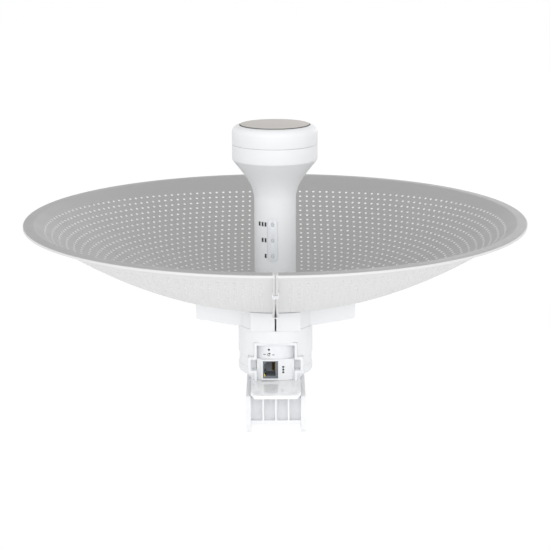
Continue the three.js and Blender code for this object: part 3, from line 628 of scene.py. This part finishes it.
class HalfSheet:
    """One half of the perforated sheet, as points on its upper face joined by faces."""

    CELL = HOLE_PITCH / 2 - 0.35
    SIDE_ROWS = (-1, -1 / 3, 1 / 3, 1)
    HUB_STEPS = 48
    RIM_STEPS = 160

    def __init__(self):
        self.rows = []
        self.turns = []
        self.faces = []
        self.holes = []
        self.seams = ([], [])

    def point(self, row, turn):
        """Adds a point on a row of the sheet, turned about the axis from the front."""
        self.rows.append(row)
        self.turns.append(turn)
        return len(self.rows) - 1

    def seam_turn(self, row):
        return math.asin((seam_gap(row[0]) / 2 + SEAM_BEND) / row[0])

    def seam_points(self, row):
        """The row's two ends, where the seam's bends start."""
        turn = self.seam_turn(row)
        front, rear = self.point(row, turn), self.point(row, math.pi - turn)
        self.seams[0].append(front)
        self.seams[1].append(rear)
        return front, rear

    def plain_row(self, row, count):
        """A row of evenly spaced points from seam to seam."""
        front, rear = self.seam_points(row)
        start = self.seam_turn(row)
        step = (math.pi - 2 * start) / count
        between = [self.point(row, start + step * k) for k in range(1, count)]
        return [front, *between, rear]

    def strip(self, lower, upper):
        """Faces between two rows with the same number of points."""
        for i in range(len(lower) - 1):
            self.faces.append((lower[i], lower[i + 1], upper[i + 1], upper[i]))

    def stitch(self, lower, upper):
        """Faces between two rows with different numbers of points."""
        i = j = 0
        while i < len(lower) - 1 or j < len(upper) - 1:
            lower_next = self.turns[lower[i + 1]] if i < len(lower) - 1 else math.inf
            upper_next = self.turns[upper[j + 1]] if j < len(upper) - 1 else math.inf
            if lower_next <= upper_next:
                self.faces.append((lower[i], lower[i + 1], upper[j]))
                i += 1
            else:
                self.faces.append((lower[i], upper[j + 1], upper[j]))
                j += 1

    def band(self, length):
        """One ring of holes. Returns its inner and outer rows of points."""
        radius = ring_row(length, math.pi / 2)[0]
        arc_length = math.pi * radius - 2 * HOLES_START
        count = int(arc_length / HOLE_PITCH) + 1
        pitch = arc_length / (count - 1)
        sides = [length + self.CELL * side for side in self.SIDE_ROWS]
        ends = [self.seam_points(ring_row(side, 0)) for side in sides]
        first = (HOLES_START - pitch / 2) / radius
        turns = [first + pitch * k / radius for k in range(count + 1)]
        columns = [[self.point(ring_row(side, turn), turn) for side in sides] for turn in turns]
        inner, outer = [ends[0][0], columns[0][0]], [ends[3][0], columns[0][3]]
        self.strip([end[0] for end in ends], columns[0])
        for left, right, turn in zip(columns, columns[1:], turns):
            thirds = [turn + pitch * share / radius for share in (1 / 3, 2 / 3)]
            low = [self.point(ring_row(sides[0], third), third) for third in thirds]
            high = [self.point(ring_row(sides[3], third), third) for third in thirds]
            around = [right[3], high[1], high[0], *left[::-1], low[0], low[1], *right[:3]]
            self.hole(length, turn + pitch / 2 / radius, around)
            inner += [*low, right[0]]
            outer += [*high, right[3]]
        self.strip(columns[-1], [end[1] for end in ends])
        return inner + [ends[0][1]], outer + [ends[3][1]]

    def hole(self, length, middle, around):
        """A hole joined to the twelve points round its cell, which run anticlockwise from a corner."""
        radius = ring_row(length, middle)[0]
        circle = []
        for k in range(12):
            angle = math.radians(45 + 30 * k)
            turn = middle + HOLE_RADIUS * math.cos(angle) / radius
            circle.append(self.point(ring_row(length + HOLE_RADIUS * math.sin(angle), turn), turn))
        for k in range(12):
            self.faces.append((around[k], around[k - 11], circle[k - 11], circle[k]))
        self.holes.append(circle)

    def build(self):
        """The whole half: the plain hub, the rings of holes and the rim."""
        hub = [self.plain_row(bowl_row(radius), self.HUB_STEPS) for radius in HUB_ROWS]
        for lower, upper in zip(hub, hub[1:]):
            self.strip(lower, upper)
        outermost = meridian_length(OUTER_RING_RADIUS)
        edge = hub[-1]
        for ring in reversed(range(RING_COUNT)):
            inner, outer = self.band(outermost - RING_PITCH * ring)
            self.stitch(edge, inner)
            edge = outer
        rim = [self.plain_row(row, self.RIM_STEPS) for row in rim_rows()]
        self.stitch(edge, rim[0])
        for lower, upper in zip(rim, rim[1:]):
            self.strip(lower, upper)
        return hub[0], rim[-1]


def seam_gap(radius):
    """The gap between the halves, which spreads a little between the two clips."""
    away = min(1, abs(radius - SEAM_SPREAD_AT) / SEAM_SPREAD_REACH)
    return SEAM_GAP + SEAM_SPREAD * math.cos(math.pi / 2 * away) ** 2


def seam_edge(row):
    """Offsets from the seam's middle and depths below the sheet, round the seam's edge at one row.

    Along the bowl the edge is a flange bent down. At the hub and on the lip it is the bare sheet."""
    near = seam_gap(row[0]) / 2
    start = near + SEAM_BEND
    inner_bend = SEAM_BEND - SHEET
    turns = [math.radians(22.5 * k) for k in (1, 2, 3, 4)]
    flange = [(start - SEAM_BEND * math.sin(a), SEAM_BEND * (1 - math.cos(a))) for a in turns]
    flange += [
        (near, SEAM_FLANGE - 0.3), (near + 0.3, SEAM_FLANGE),
        (near + SHEET - 0.3, SEAM_FLANGE), (near + SHEET, SEAM_FLANGE - 0.3),
    ]
    flange += [
        (start - inner_bend * math.sin(a), SEAM_BEND - inner_bend * math.cos(a))
        for a in turns[3:0:-2]
    ]
    land = SEAM_BEND - 0.2
    plain = [(start - land * k / 3, 0) for k in (1, 2, 3)]
    plain += [(near, 0.2), (near, SHEET - 0.2)]
    plain += [(near + 0.2 + land * k / 5, SHEET) for k in range(5)]
    rise = min((row[0] - SEAM_FLANGE_FROM) / 4, (SEAM_FLANGE_TO - row[0]) / 3)
    share = min(1, max(0, rise))
    return [
        (a[0] + (b[0] - a[0]) * share, a[1] + (b[1] - a[1]) * share)
        for a, b in zip(plain, flange)
    ]


def reflector_half(name, side):
    """A closed perforated sheet: upper face, lower face, hole walls, hub and hem edges, seam flanges."""
    sheet = HalfSheet()
    hub_edge, hem_edge = sheet.build()
    rows, turns = np.array(sheet.rows), np.array(sheet.turns)
    outward = np.stack([np.sin(turns), -np.cos(turns)], axis=1)
    upper = np.column_stack([rows[:, :1] * outward, rows[:, 1]])
    normals = np.column_stack([rows[:, 2:3] * outward, rows[:, 3]])
    lower = upper - SHEET * normals
    points = [*map(tuple, upper), *map(tuple, lower)]
    below = len(upper)
    faces = list(sheet.faces)
    faces += [tuple(i + below for i in reversed(face)) for face in sheet.faces]
    for loop in sheet.holes:
        for i, j in zip(loop, loop[1:] + loop[:1]):
            faces.append((i, j, j + below, i + below))
    for edge in (hub_edge, hem_edge):
        for i, j in zip(edge, edge[1:]):
            faces.append((i, j, j + below, i + below))
    for seam in sheet.seams:
        previous = None
        for i in seam:
            profile = [i]
            for across, depth in seam_edge(sheet.rows[i]):
                profile.append(len(points))
                along = np.array([0, *normals[i][1:]])
                points.append(tuple(np.array([across, upper[i][1], upper[i][2]]) - depth * along))
            profile.append(i + below)
            if previous:
                for k in range(len(profile) - 1):
                    faces.append((previous[k], previous[k + 1], profile[k + 1], profile[k]))
            else:
                faces.append(tuple(profile))
            previous = profile
        faces.append(tuple(previous))
    points = [(side * x, y, z) for x, y, z in points]
    half = tidy(make(name, points, faces))
    # Painted light and shade: the upper face keeps the darker inner tone; the lower face, edges, seams and
    # hole walls take the paler outer tone.
    painted_light_share = np.full(len(faces), OTHER_FACE_LIGHT_SHARE, dtype=np.float32)
    painted_light_share[:len(sheet.faces)] = 0
    walls = 2 * len(sheet.faces)
    painted_light_share[walls:walls + 12 * len(sheet.holes)] = HOLE_WALL_LIGHT_SHARE
    # The hem's strip of the upper face gets the paler tone as a painted highlight.
    hem = [rows[list(face), 0].min() > RIM_RADIUS - HEM_HIGHLIGHT_WIDTH for face in sheet.faces]
    painted_light_share[:len(sheet.faces)][hem] = OTHER_FACE_LIGHT_SHARE
    half.data.attributes.new(PAINTED_LIGHT_ATTRIBUTE, "FLOAT", "FACE").data.foreach_set("value", painted_light_share)
    return smooth(half, 40)


for side, hand in HANDS:
    piece(reflector_half(f"perforated_reflector_{hand}", side), "reflector_coating", f"reflector_{hand}")


# ---------------------------------------------------------------- feed tube and head

def bell(inset):
    """The head's flare, leaving the tube upright and ending in a slant."""
    points = [Vector(p) for p in (
        (TUBE_RADIUS, BELL_START), (TUBE_RADIUS, BELL_START + BELL_UPRIGHT),
        BELL_PULL, (BELL_RADIUS, BELL_EDGE),
    )]
    curve = []
    for k in range(17):
        t = k / 16
        weights = ((1 - t) ** 3, 3 * t * (1 - t) ** 2, 3 * t * t * (1 - t), t ** 3)
        u, v = sum((w * p for w, p in zip(weights, points)), Vector((0, 0)))
        curve.append((u - inset, v))
    return curve


def window_prism(grow):
    u, v = sum(WINDOW_X) / 2, sum(WINDOW_Z) / 2
    half_width = (WINDOW_X[1] - WINDOW_X[0]) / 2 + grow
    half_height = (WINDOW_Z[1] - WINDOW_Z[0]) / 2 + grow
    return prism("cutter", slot_outline(u, v, half_width, half_height), "y", -TUBE_RADIUS - 5, -10)


def screw_holes(low, high):
    return [rod("cutter", "z", SCREW_HOLE, low, high, x, y, 24) for x, y in SCREW_PLACES]


def feed_tube():
    bottom = extent("feed_tube")[2][0]
    flare, inside = bell(0), bell(TUBE_WALL)
    body = turned("feed_tube_body", [
        (TUBE_RADIUS, bottom, 0.3),
        (TUBE_RADIUS, FOOT["bottom"]),
        (FOOT["radius"], FOOT["bottom"], 0.4),
        (FOOT["radius"], FOOT["top"], 0.8),
        (TUBE_RADIUS, FOOT["top"], 2),
        *flare[:-1],
        (*flare[-1], 1.6),
        (BELL_RADIUS, HEAD_SEAM - HAIRLINE, 0.3),
        (BELL_RADIUS - TUBE_WALL, HEAD_SEAM - HAIRLINE, 0.3),
        *reversed(inside),
        (TUBE_RADIUS - TUBE_WALL, bottom, 0.3),
    ])
    return smooth(cut(body, window_prism(FIT), *screw_holes(-80, -70)))


def feed_cap():
    shoulder = CAP_TOP - CAP_SIDE_TOP
    seat = DISC_RADIUS + 0.8
    wall = BELL_RADIUS - TUBE_WALL
    spigot = HEAD_SEAM - CAP_SPIGOT["depth"]
    rounding = [(BELL_RADIUS - shoulder + u, v) for u, v in arc((0, CAP_SIDE_TOP), shoulder, 0, 88, 14)]
    body = turned("feed_cap_shell", [
        (0, CAP_TOP - CAP_ROOF),
        (30, CAP_TOP - CAP_ROOF, 2),
        (wall, CAP_SIDE_TOP, 2),
        (wall, HEAD_SEAM + 3),
        (CAP_SPIGOT["inner"], HEAD_SEAM + 1.5),
        (CAP_SPIGOT["inner"], spigot, 0.4),
        (CAP_SPIGOT["outer"], spigot, 0.4),
        (CAP_SPIGOT["outer"], HEAD_SEAM + HAIRLINE),
        (BELL_RADIUS, HEAD_SEAM + HAIRLINE, 0.3),
        *rounding,
        (seat, CAP_TOP, 0.25),
        (seat, CAP_TOP - CAP_SEAT_DEPTH, 0.2),
        (0, CAP_TOP - CAP_SEAT_DEPTH),
    ])
    return smooth(body)


def cap_disc():
    bottom, top = extent("cap_disc")[2]
    body = turned("cap_disc_inlay", [
        (0, bottom),
        (DISC_RADIUS, bottom, 0.2),
        (DISC_RADIUS, top, 0.7),
        (0, top),
    ])
    return smooth(body)


def signal_window():
    section = corners_of((TUBE_RADIUS - 1.8, TUBE_RADIUS), widened(WINDOW_Z, 3))
    wall = turned("signal_window", section, FINE_ROUND)
    window = common(wall, window_prism(FIT - HAIRLINE))
    for x, _, z in LENSES.values():
        half_width, half_height = (x[1] - x[0]) / 2 + HAIRLINE, (z[1] - z[0]) / 2 + HAIRLINE
        hole = slot_outline(sum(x) / 2, sum(z) / 2, half_width, half_height)
        cut(window, prism("cutter", hole, "y", -25, -10))
    return soften(window, 0.2)


def signal_lens(name):
    x, y, z = LENSES[name]
    shape = slot_outline(sum(x) / 2, sum(z) / 2, (x[1] - x[0]) / 2, (z[1] - z[0]) / 2)
    return soften(prism(f"signal_lens_{name}", shape, "y", *y), 0.5, 3, 60)


def printed(name, radius, shapes, centre=0):
    """Printed marks on a round wall: thin skins cut by prisms along Y from a tube centred at a y."""
    heights = [v for shape in shapes for _, v in shape]
    section = corners_of((radius - PRINT / 2, radius + PRINT), (min(heights) - 1, max(heights) + 1))
    skins = []
    for shape in shapes:
        skin = turned(name, section, FINE_ROUND)
        skin.data.transform(Matrix.Translation((0, centre * MM, 0)))
        skins.append(common(skin, prism("cutter", shape, "y", centre - radius - 5, centre - radius / 2)))
    return smooth(join(*skins))


def rectangle(u, v, width, height):
    return corners_of(widened((u, u), width / 2), widened((v, v), height / 2))


def signal_bars():
    """One, two or three bars beside each lens, counted outward from the window."""
    first = WINDOW_X[0] - 1.9
    shapes = []
    for bars, (_, _, z) in zip((3, 2, 1), LENSES.values()):
        shapes += [rectangle(first - BAR_PITCH * k, sum(z) / 2, BAR_WIDTH, BAR_HEIGHT) for k in range(bars)]
    return printed("signal_bars", TUBE_RADIUS, shapes)


# The feed tube and cap are white plastic, finished in its paler copy as painted light.
piece(feed_tube(), "white_plastic", "feed_tube", finish="painted_light_white_plastic")
piece(feed_cap(), "white_plastic", "feed_cap", finish="painted_light_white_plastic")
piece(cap_disc(), "warm_grey_plastic", "cap_disc")
piece(signal_window(), "window_plastic", "led_window")
for name in LENSES:
    piece(signal_lens(name), "lens_plastic", f"led_lens_{name}")
piece(signal_bars(), "dark_plastic", finish="print")


# ---------------------------------------------------------------- carrier

def half_space(side, gap, reach=120):
    x = (gap / 2, reach) if side > 0 else (-reach, -gap / 2)
    return block("cutter", x, (-reach, reach), (-2 * reach, reach))


def under_bowl(clearance):
    """Everything above the sheet's underside, with a clearance."""
    depth = SHEET + clearance
    skin = []
    for k in range(25):
        r, z, nr, nz = bowl_row(95 * k / 24)
        skin.append((r - depth * nr, z - depth * nz))
    return turned("cutter", [(0, 20), *skin, (skin[-1][0], 20)])


def carrier_half(name, side):
    tip, near = side * WING_LENGTH, side * WING["root"]
    wing = prism("wing", [
        (near, WING["top"]), (tip, WING["top"]), (tip, WING["tip_bottom"], 3.5),
        (side * WING["heel"], CARRIER_BOTTOM), (near, CARRIER_BOTTOM),
    ], "y", -WING_HALF_WIDTH, WING_HALF_WIDTH)
    body = turned(name, corners_of((CARRIER_BORE, BASE_RADIUS), (CARRIER_BOTTOM, BLANK_TOP)))
    blocks = []
    for facing in (-1, 1):
        face, root = facing * BLOCK_FACE, facing * BLOCK_ROOT
        corners = [(-BLOCK_HALF_WIDTH, root), (BLOCK_HALF_WIDTH, root),
                   (BLOCK_HALF_WIDTH, face, 1.2), (-BLOCK_HALF_WIDTH, face, 1.2)]
        blocks.append(prism("block", corners, "z", CARRIER_BOTTOM, BLANK_TOP))
    join(body, wing, *blocks)
    common(body, half_space(side, CARRIER_GAP))
    hub = block("hub", (-BLOCK_RELIEF, BLOCK_RELIEF), (-FAR, FAR), (-FAR, FAR))
    cut(body, under_bowl(FIT), common(hub, under_bowl(RELIEF_DEPTH)), *screw_holes(-92, -60))
    return soften(body, 0.35)


for side, hand in HANDS:
    piece(carrier_half(f"carrier_shell_{hand}", side), "white_plastic", f"carrier_{hand}")


# ---------------------------------------------------------------- base housing and port

def port_outline(grow):
    """The port's stepped outline in x and z, grown outward."""
    narrow, wide = PORT["half_width"] + grow, PORT["notch_half_width"] + grow
    notch_top, notch_bottom = PORT["notch_top"] + grow, PORT["notch_bottom"] - grow
    return mirrored([
        (narrow, PORT["top"] + grow, 1),
        (narrow, notch_top, 0.5),
        (wide, notch_top, 1),
        (wide, notch_bottom, 1),
        (narrow, notch_bottom, 0.5),
        (narrow, PORT_FOOT),
    ])


def base_housing():
    step = BASE_WAIST["step"]
    mouth = END_PLATE_RADIUS + FIT
    ledge = mouth - 1.9
    floor_top = BASE_FLOOR + BASE_WALL
    body = turned("base_housing_shell", [
        (17.5, BASE_TOP),
        (BASE_RADIUS, BASE_TOP, 0.4),
        (BASE_RADIUS, BASE_WAIST["top"] + step, 0.5),
        (BASE_WAIST["radius"], BASE_WAIST["top"], 0.5),
        (BASE_WAIST["radius"], BASE_WAIST["bottom"], 0.5),
        (BASE_RADIUS, BASE_WAIST["bottom"] - step, 0.5),
        (BASE_RADIUS, BASE_FLOOR, BASE_ROUND),
        (BASE_NECK_RADIUS, BASE_FLOOR, 0.8),
        (BASE_NECK_RADIUS, BASE_BOTTOM, 0.5),
        (mouth, BASE_BOTTOM),
        (mouth, BASE_BOTTOM + 4.5),
        (ledge, BASE_BOTTOM + 4.5),
        (ledge, floor_top),
        (BASE_RADIUS - BASE_WALL, floor_top, 1),
        (BASE_RADIUS - BASE_WALL, BASE_TOP - BASE_WALL, 1),
        (17.5, BASE_TOP - BASE_WALL),
    ])
    foot = PORT["half_width"] + PORT["rim"] + HAIRLINE
    return smooth(cut(
        body,
        prism("cutter", port_outline(PORT["rim"] + HAIRLINE), "y", -BASE_RADIUS - 5, PORT["back"] + FIT),
        block("cutter", (-foot, foot), (-40, PORT["back"] + 3.1), (-155, floor_top)),
    ))


def port_frame():
    body = prism("port_rim", port_outline(PORT["rim"]), "y", PORT["face"], PORT["back"])
    open_foot = block("cutter", (-PORT["half_width"], PORT["half_width"]), (-60, 0),
                      (-160, PORT["notch_bottom"] - 4))
    cut(body, prism("cutter", port_outline(0), "y", -60, 0), open_foot)
    for side in (-1, 1):
        x = sorted((side * (PORT["half_width"] + FIT), side * (PORT["notch_half_width"] + 1)))
        z = (PORT["notch_bottom"] - 1, PORT["notch_top"] + 1)
        join(body, block("floor", x, (PORT["back"] - 1.4, PORT["back"]), z))
    return soften(body, 0.35)


def port_panel():
    """A curved sheet that fills out to a flatter lower band, with a boss round the jack."""
    inner, top = PANEL_RADIUS - PANEL_THICKNESS, PORT["top"] - 0.5
    half_width = PORT["half_width"] - PANEL_SIDE_GAP
    wall = turned("port_panel_sheet", corners_of((inner, PANEL_RADIUS), (PORT_FOOT, top)), FINE_ROUND)
    band_z = (PORT_FOOT, PANEL_BAND["top"])
    band = rod("band", "z", PANEL_BAND["radius"], *band_z, 0, PANEL_BAND_CENTRE, 2 * FINE_ROUND)
    cut(band, rod("cutter", "z", inner + PANEL_THICKNESS / 2, -160, -100, 0, 0, FINE_ROUND))
    join(wall, band)
    common(wall, block("cutter", (-half_width, half_width), (-40, -10), (-160, -100)))
    boss = corners_of(widened(JACK_X, BOSS_RIM), widened(JACK_Z, BOSS_RIM), 0.8)
    join(wall, prism("boss", boss, "y", JACK_Y[0] - 0.7, -23))
    cut(
        wall,
        block("cutter", widened(JACK_X, HAIRLINE), (-40, -10), widened(JACK_Z, HAIRLINE)),
        rod("cutter", "y", RESET_HOLE, -40, -10, RESET_X, RESET_Z, 32),
    )
    return soften(wall, 0.25)


def end_screw_holes(rows):
    """Holes for the end plate's screws, in a row at each y."""
    return [rod("cutter", "z", SCREW_HOLE, -160, -140, x, y, 24) for x in END_SCREW_X for y in rows]


def port_shelf():
    """The tray in front of the port, stepped down at its rear to a flange under the base."""
    across, along = SHELF_CHAMFER
    right, front, top = SHELF_X[1], SHELF_Y[0], SHELF_Z[1]
    corners = mirrored([
        (right - across, front, 1),
        (right, front + along, 1.5),
        (right, SHELF_RISER[1]),
    ])
    body = prism("port_shelf_plate", corners, "z", top - SHELF_THICKNESS, top)
    flange_z = (SHELF_Z[0], SHELF_Z[0] + SHELF_THICKNESS)
    join(
        body,
        block("riser", SHELF_X, SHELF_RISER, (SHELF_Z[0], top - 1)),
        block("flange", SHELF_X, (SHELF_RISER[0], SHELF_Y[1]), flange_z),
    )
    cut(body, *end_screw_holes(END_SCREW_Y[:1]))
    return soften(body, 0.45, 3)


def ring_arrow(u, v, radius):
    """A restart sign: most of a ring, with an arrowhead at its open end."""
    width = 0.5
    outer = arc((u, v), radius, 60, 330)
    inner = arc((u, v), radius - width, 330, 60)
    tip_u, tip_v = u + radius * math.cos(math.radians(60)), v + radius * math.sin(math.radians(60))
    head = [(tip_u + 1.1, tip_v - 0.3), (tip_u - 0.6, tip_v + 0.8), (tip_u - 0.7, tip_v - 1.2)]
    return [outer + inner, head]


def reset_marks():
    """A generic restart sign between two dashes, under the reset hole."""
    height = RESET_Z - 4.6
    shapes = ring_arrow(RESET_X, height, 1.4)
    shapes += [rectangle(RESET_X + 4 * side, height, 2.2, 0.6) for side in (-1, 1)]
    return printed("reset_marks", PANEL_RADIUS, shapes)


def network_marks():
    """A generic sign of three linked nodes beside the jack."""
    middle = sum(JACK_Z) / 2
    u = JACK_X[1] + 4.8
    shapes = [rectangle(u, middle + 2.6 * k, 1.9, 1.5) for k in (-1, 0, 1)]
    shapes += [rectangle(u, middle + 1.3 * k, 0.5, 1.3) for k in (-1, 1)]
    return printed("network_marks", PANEL_BAND["radius"], shapes, PANEL_BAND_CENTRE)


piece(base_housing(), "white_plastic", "base_housing")
piece(port_frame(), "white_plastic", "port_frame")
piece(port_panel(), "white_plastic", "port_panel")
piece(port_shelf(), "gloss_plastic", "port_shelf")
piece(reset_marks(), "dark_plastic", finish="print")
piece(network_marks(), "dark_plastic", finish="print")


# ---------------------------------------------------------------- jack

def jack_shell():
    """The jack lies on its side, with its latch slot towards -X and its contacts towards +X."""
    (x0, x1), (z0, z1), face = JACK_X, JACK_Z, JACK_Y[0]
    body = block("ethernet_jack_shell", JACK_X, JACK_Y, JACK_Z)
    lamp_x, _, lamp_z = extent("jack_lamp")
    cut(
        body,
        block("cutter", (x0 + 2.7, x1 - JACK_SIDE), (face - 1, face + 14), (z0 + 2.2, z1 - 0.9)),
        block("cutter", (x0 + 0.9, x0 + 3), (face - 1, face + 11), (z0 + 5.6, z1 - 2.6)),
        block("cutter", widened(lamp_x, FIT), (face - 1, face + 4.3), widened(lamp_z, FIT)),
    )
    return soften(body, 0.2)


def jack_contacts():
    """Eight sprung wires that slope away from the wall as they go in."""
    middle = sum(JACK_Z) / 2 + 0.6
    seat = JACK_X[1] - JACK_SIDE
    count, front, rear = CONTACTS["count"], CONTACTS["front"], CONTACTS["rear"]
    slope = [(seat, front), (seat - 0.5, front), (seat - 3.2, -17), (seat - 3.2, rear), (seat, rear)]
    contacts = []
    for k in range(count):
        z = middle + (k - (count - 1) / 2) * CONTACTS["pitch"]
        contacts.append(prism("jack_contacts", slope, "z", *widened((z, z), CONTACTS["half_width"])))
    slab = block("slab", (seat - 0.3, seat), (front, rear), widened((middle, middle), 5.2))
    return smooth(join(*contacts, slab))


piece(jack_shell(), "jack_plastic", "ethernet_jack")
piece(jack_contacts(), "gold_contacts", "jack_contact_block")


# ---------------------------------------------------------------- end plate and pole bracket

def along_x(name, corners, side, inner, outer):
    low, high = sorted((side * inner, side * outer))
    return prism(name, corners, "x", low, high)


def bolt_hole(radius=BOLT_RADIUS + FIT, low=-FAR, high=FAR):
    return rod("cutter", "x", radius, low, high, PIVOT_Y, PIVOT_Z)


def end_plate():
    y = widened((PIVOT_Y, PIVOT_Y), LUG["radius"])
    body = turned("end_plate_body", [
        (0, BASE_BOTTOM),
        (END_PLATE_RADIUS, BASE_BOTTOM, 0.6),
        (END_PLATE_RADIUS, END_PLATE_TOP),
        (0, END_PLATE_TOP),
    ])
    cut(body, block("cutter", (-40, 40), (-40, PORT["back"] + FIT), (-160, -140)))
    join(
        body,
        block("neck", (-12, 12), (y[0], 14), (-149.8, -147)),
        block("foot", (-LUG["outer"], LUG["outer"]), y, (LUG["foot"], -149)),
    )
    lug = [(y[1], -149.5), (y[0], -149.5), *arc((PIVOT_Y, PIVOT_Z), LUG["radius"], 180, 360, 32)]
    for side in (-1, 1):
        join(body, along_x("lug", lug, side, LUG["inner"], LUG["outer"]))
    cut(body, bolt_hole(), *end_screw_holes(END_SCREW_Y))
    return soften(body, 0.4)


def cheek(side):
    top, bottom = PIVOT_Z + EAR_RADIUS, PIVOT_Z - EAR_RADIUS
    shape = [
        *arc((PIVOT_Y, PIVOT_Z), EAR_RADIUS, -90, 90, 48),
        (CHEEK_FRONT, top, 1.5),
        (CHEEK_FRONT, bottom, LEG_ROUND),
    ]
    return along_x("cheek", shape, side, CHEEK_INNER, CHEEK_OUTER)


def pole_bracket():
    inside = widened((-CHEEK_INNER, CHEEK_INNER), 0.5)
    front = [(WALL_REACH * u, (WALL_TOP - FLOOR_Z[1]) * v) for u, v in arc((0, 0), 1, 0, -90, 32)]
    growth = 1 + WALL_THICKNESS / WALL_REACH, 1 + WALL_THICKNESS / (WALL_TOP - FLOOR_Z[1])
    rear = [(growth[0] * y, growth[1] * z) for y, z in reversed(front)]
    wall = [(WALL_TOE + y, WALL_TOP + z) for y, z in front + rear]
    rib_y = (FLOOR_Y[0], WALL_TOE + WALL_REACH + 1)
    body = cheek(-1)
    body.name = "pole_bracket_body"
    join(
        body,
        cheek(1),
        block("floor", inside, FLOOR_Y, FLOOR_Z),
        prism("wall", wall, "x", *inside),
        *[block("rib", widened((x, x), RIB_HALF), rib_y, (FLOOR_Z[1] - 1, RIB_TOP)) for x in RIB_X],
    )
    cut(
        body,
        bolt_hole(),
        bolt_hole(BOLT_HEAD_RADIUS + FIT, high=-CHEEK_OUTER + HEAD_RECESS),
        rod("cutter", "x", NUT_RADIUS + FIT, CHEEK_OUTER - HEAD_RECESS, FAR, PIVOT_Y, PIVOT_Z, 6),
        block("cutter", (-FAR, FAR), STRAP_Y, STRAP_Z),
    )
    return soften(body, 0.45, 3)


piece(end_plate(), "white_plastic", "base_end_plate")
piece(pole_bracket(), "white_plastic", "pole_bracket", body="bracket")


# ---------------------------------------------------------------- studio

ZENITH = (0.63, 0.63, 0.625)
HORIZON = (1.03, 1.03, 1.04)


def studio_world():
    """A pale room with a dim ceiling. The camera itself sees plain white."""
    world = bpy.data.worlds.new("studio")
    bpy.context.scene.world = world
    world.use_nodes = True
    nodes, links = world.node_tree.nodes, world.node_tree.links
    split = nodes.new("ShaderNodeSeparateXYZ")
    links.new(nodes.new("ShaderNodeTexCoord").outputs["Generated"], split.inputs["Vector"])
    ramp = nodes.new("ShaderNodeValToRGB")
    ramp.color_ramp.elements[0].position = 0.12
    ramp.color_ramp.elements[0].color = (*HORIZON, 1)
    ramp.color_ramp.elements[1].position = 0.62
    ramp.color_ramp.elements[1].color = (*ZENITH, 1)
    links.new(split.outputs["Z"], ramp.inputs["Fac"])
    path = nodes.new("ShaderNodeLightPath")
    seen = nodes.new("ShaderNodeMix")
    seen.data_type = "RGBA"
    seen.inputs["B"].default_value = (1, 1, 1, 1)
    links.new(path.outputs["Is Camera Ray"], seen.inputs["Factor"])
    links.new(ramp.outputs["Color"], seen.inputs["A"])
    links.new(seen.outputs["Result"], nodes["Background"].inputs["Color"])


def area_light(name, position, size, power, target):
    """A soft box of a width and height in metres, which the camera doesn't see."""
    light = bpy.data.lights.new(name, "AREA")
    light.shape = "RECTANGLE"
    light.size, light.size_y = size
    light.energy = power
    obj = bpy.data.objects.new(name, light)
    bpy.context.scene.collection.objects.link(obj)
    obj.location = position
    obj.rotation_euler = (Vector(target) - Vector(position)).to_track_quat("-Z", "Y").to_euler()
    obj.visible_camera = False


def floor():
    reach = 60
    mesh = bpy.data.meshes.new("studio_floor")
    corners = [(-reach, -reach, 0), (reach, -reach, 0), (reach, reach, 0), (-reach, reach, 0)]
    mesh.from_pydata(corners, [], [(0, 1, 2, 3)])
    obj = bpy.data.objects.new("studio_floor", mesh)
    bpy.context.scene.collection.objects.link(obj)
    obj.location.z = -0.0005
    mesh.materials.append(studio_floor())


def camera():
    """The viewpoint, on the port side, looking along +Y and a little down."""
    elevation = math.radians(13.5)
    distance = 1.472
    target = Vector((-0.0003, 0, MOUTH_HEIGHT * MM - 0.054))
    data = bpy.data.cameras.new("camera")
    data.sensor_width = 36
    data.lens = 106
    obj = bpy.data.objects.new("camera", data)
    bpy.context.scene.collection.objects.link(obj)
    obj.location = target + distance * Vector((0, -math.cos(elevation), math.sin(elevation)))
    aim = (target - obj.location).to_track_quat("-Z", "Y")
    roll = Quaternion((0, 0, 1), math.radians(-0.25))
    obj.rotation_euler = (aim @ roll).to_euler()
    bpy.context.scene.camera = obj


studio_world()
area_light("front_light", (0, -2.6, 0.8), (5.0, 1.4), 36, (0, 0, 0.13))
area_light("rear_light", (1.2, 2.4, 0.8), (2.2, 2.2), 10, (0, 0, 0.1))
floor()
camera()
bpy.context.scene.view_settings.view_transform = "Standard"
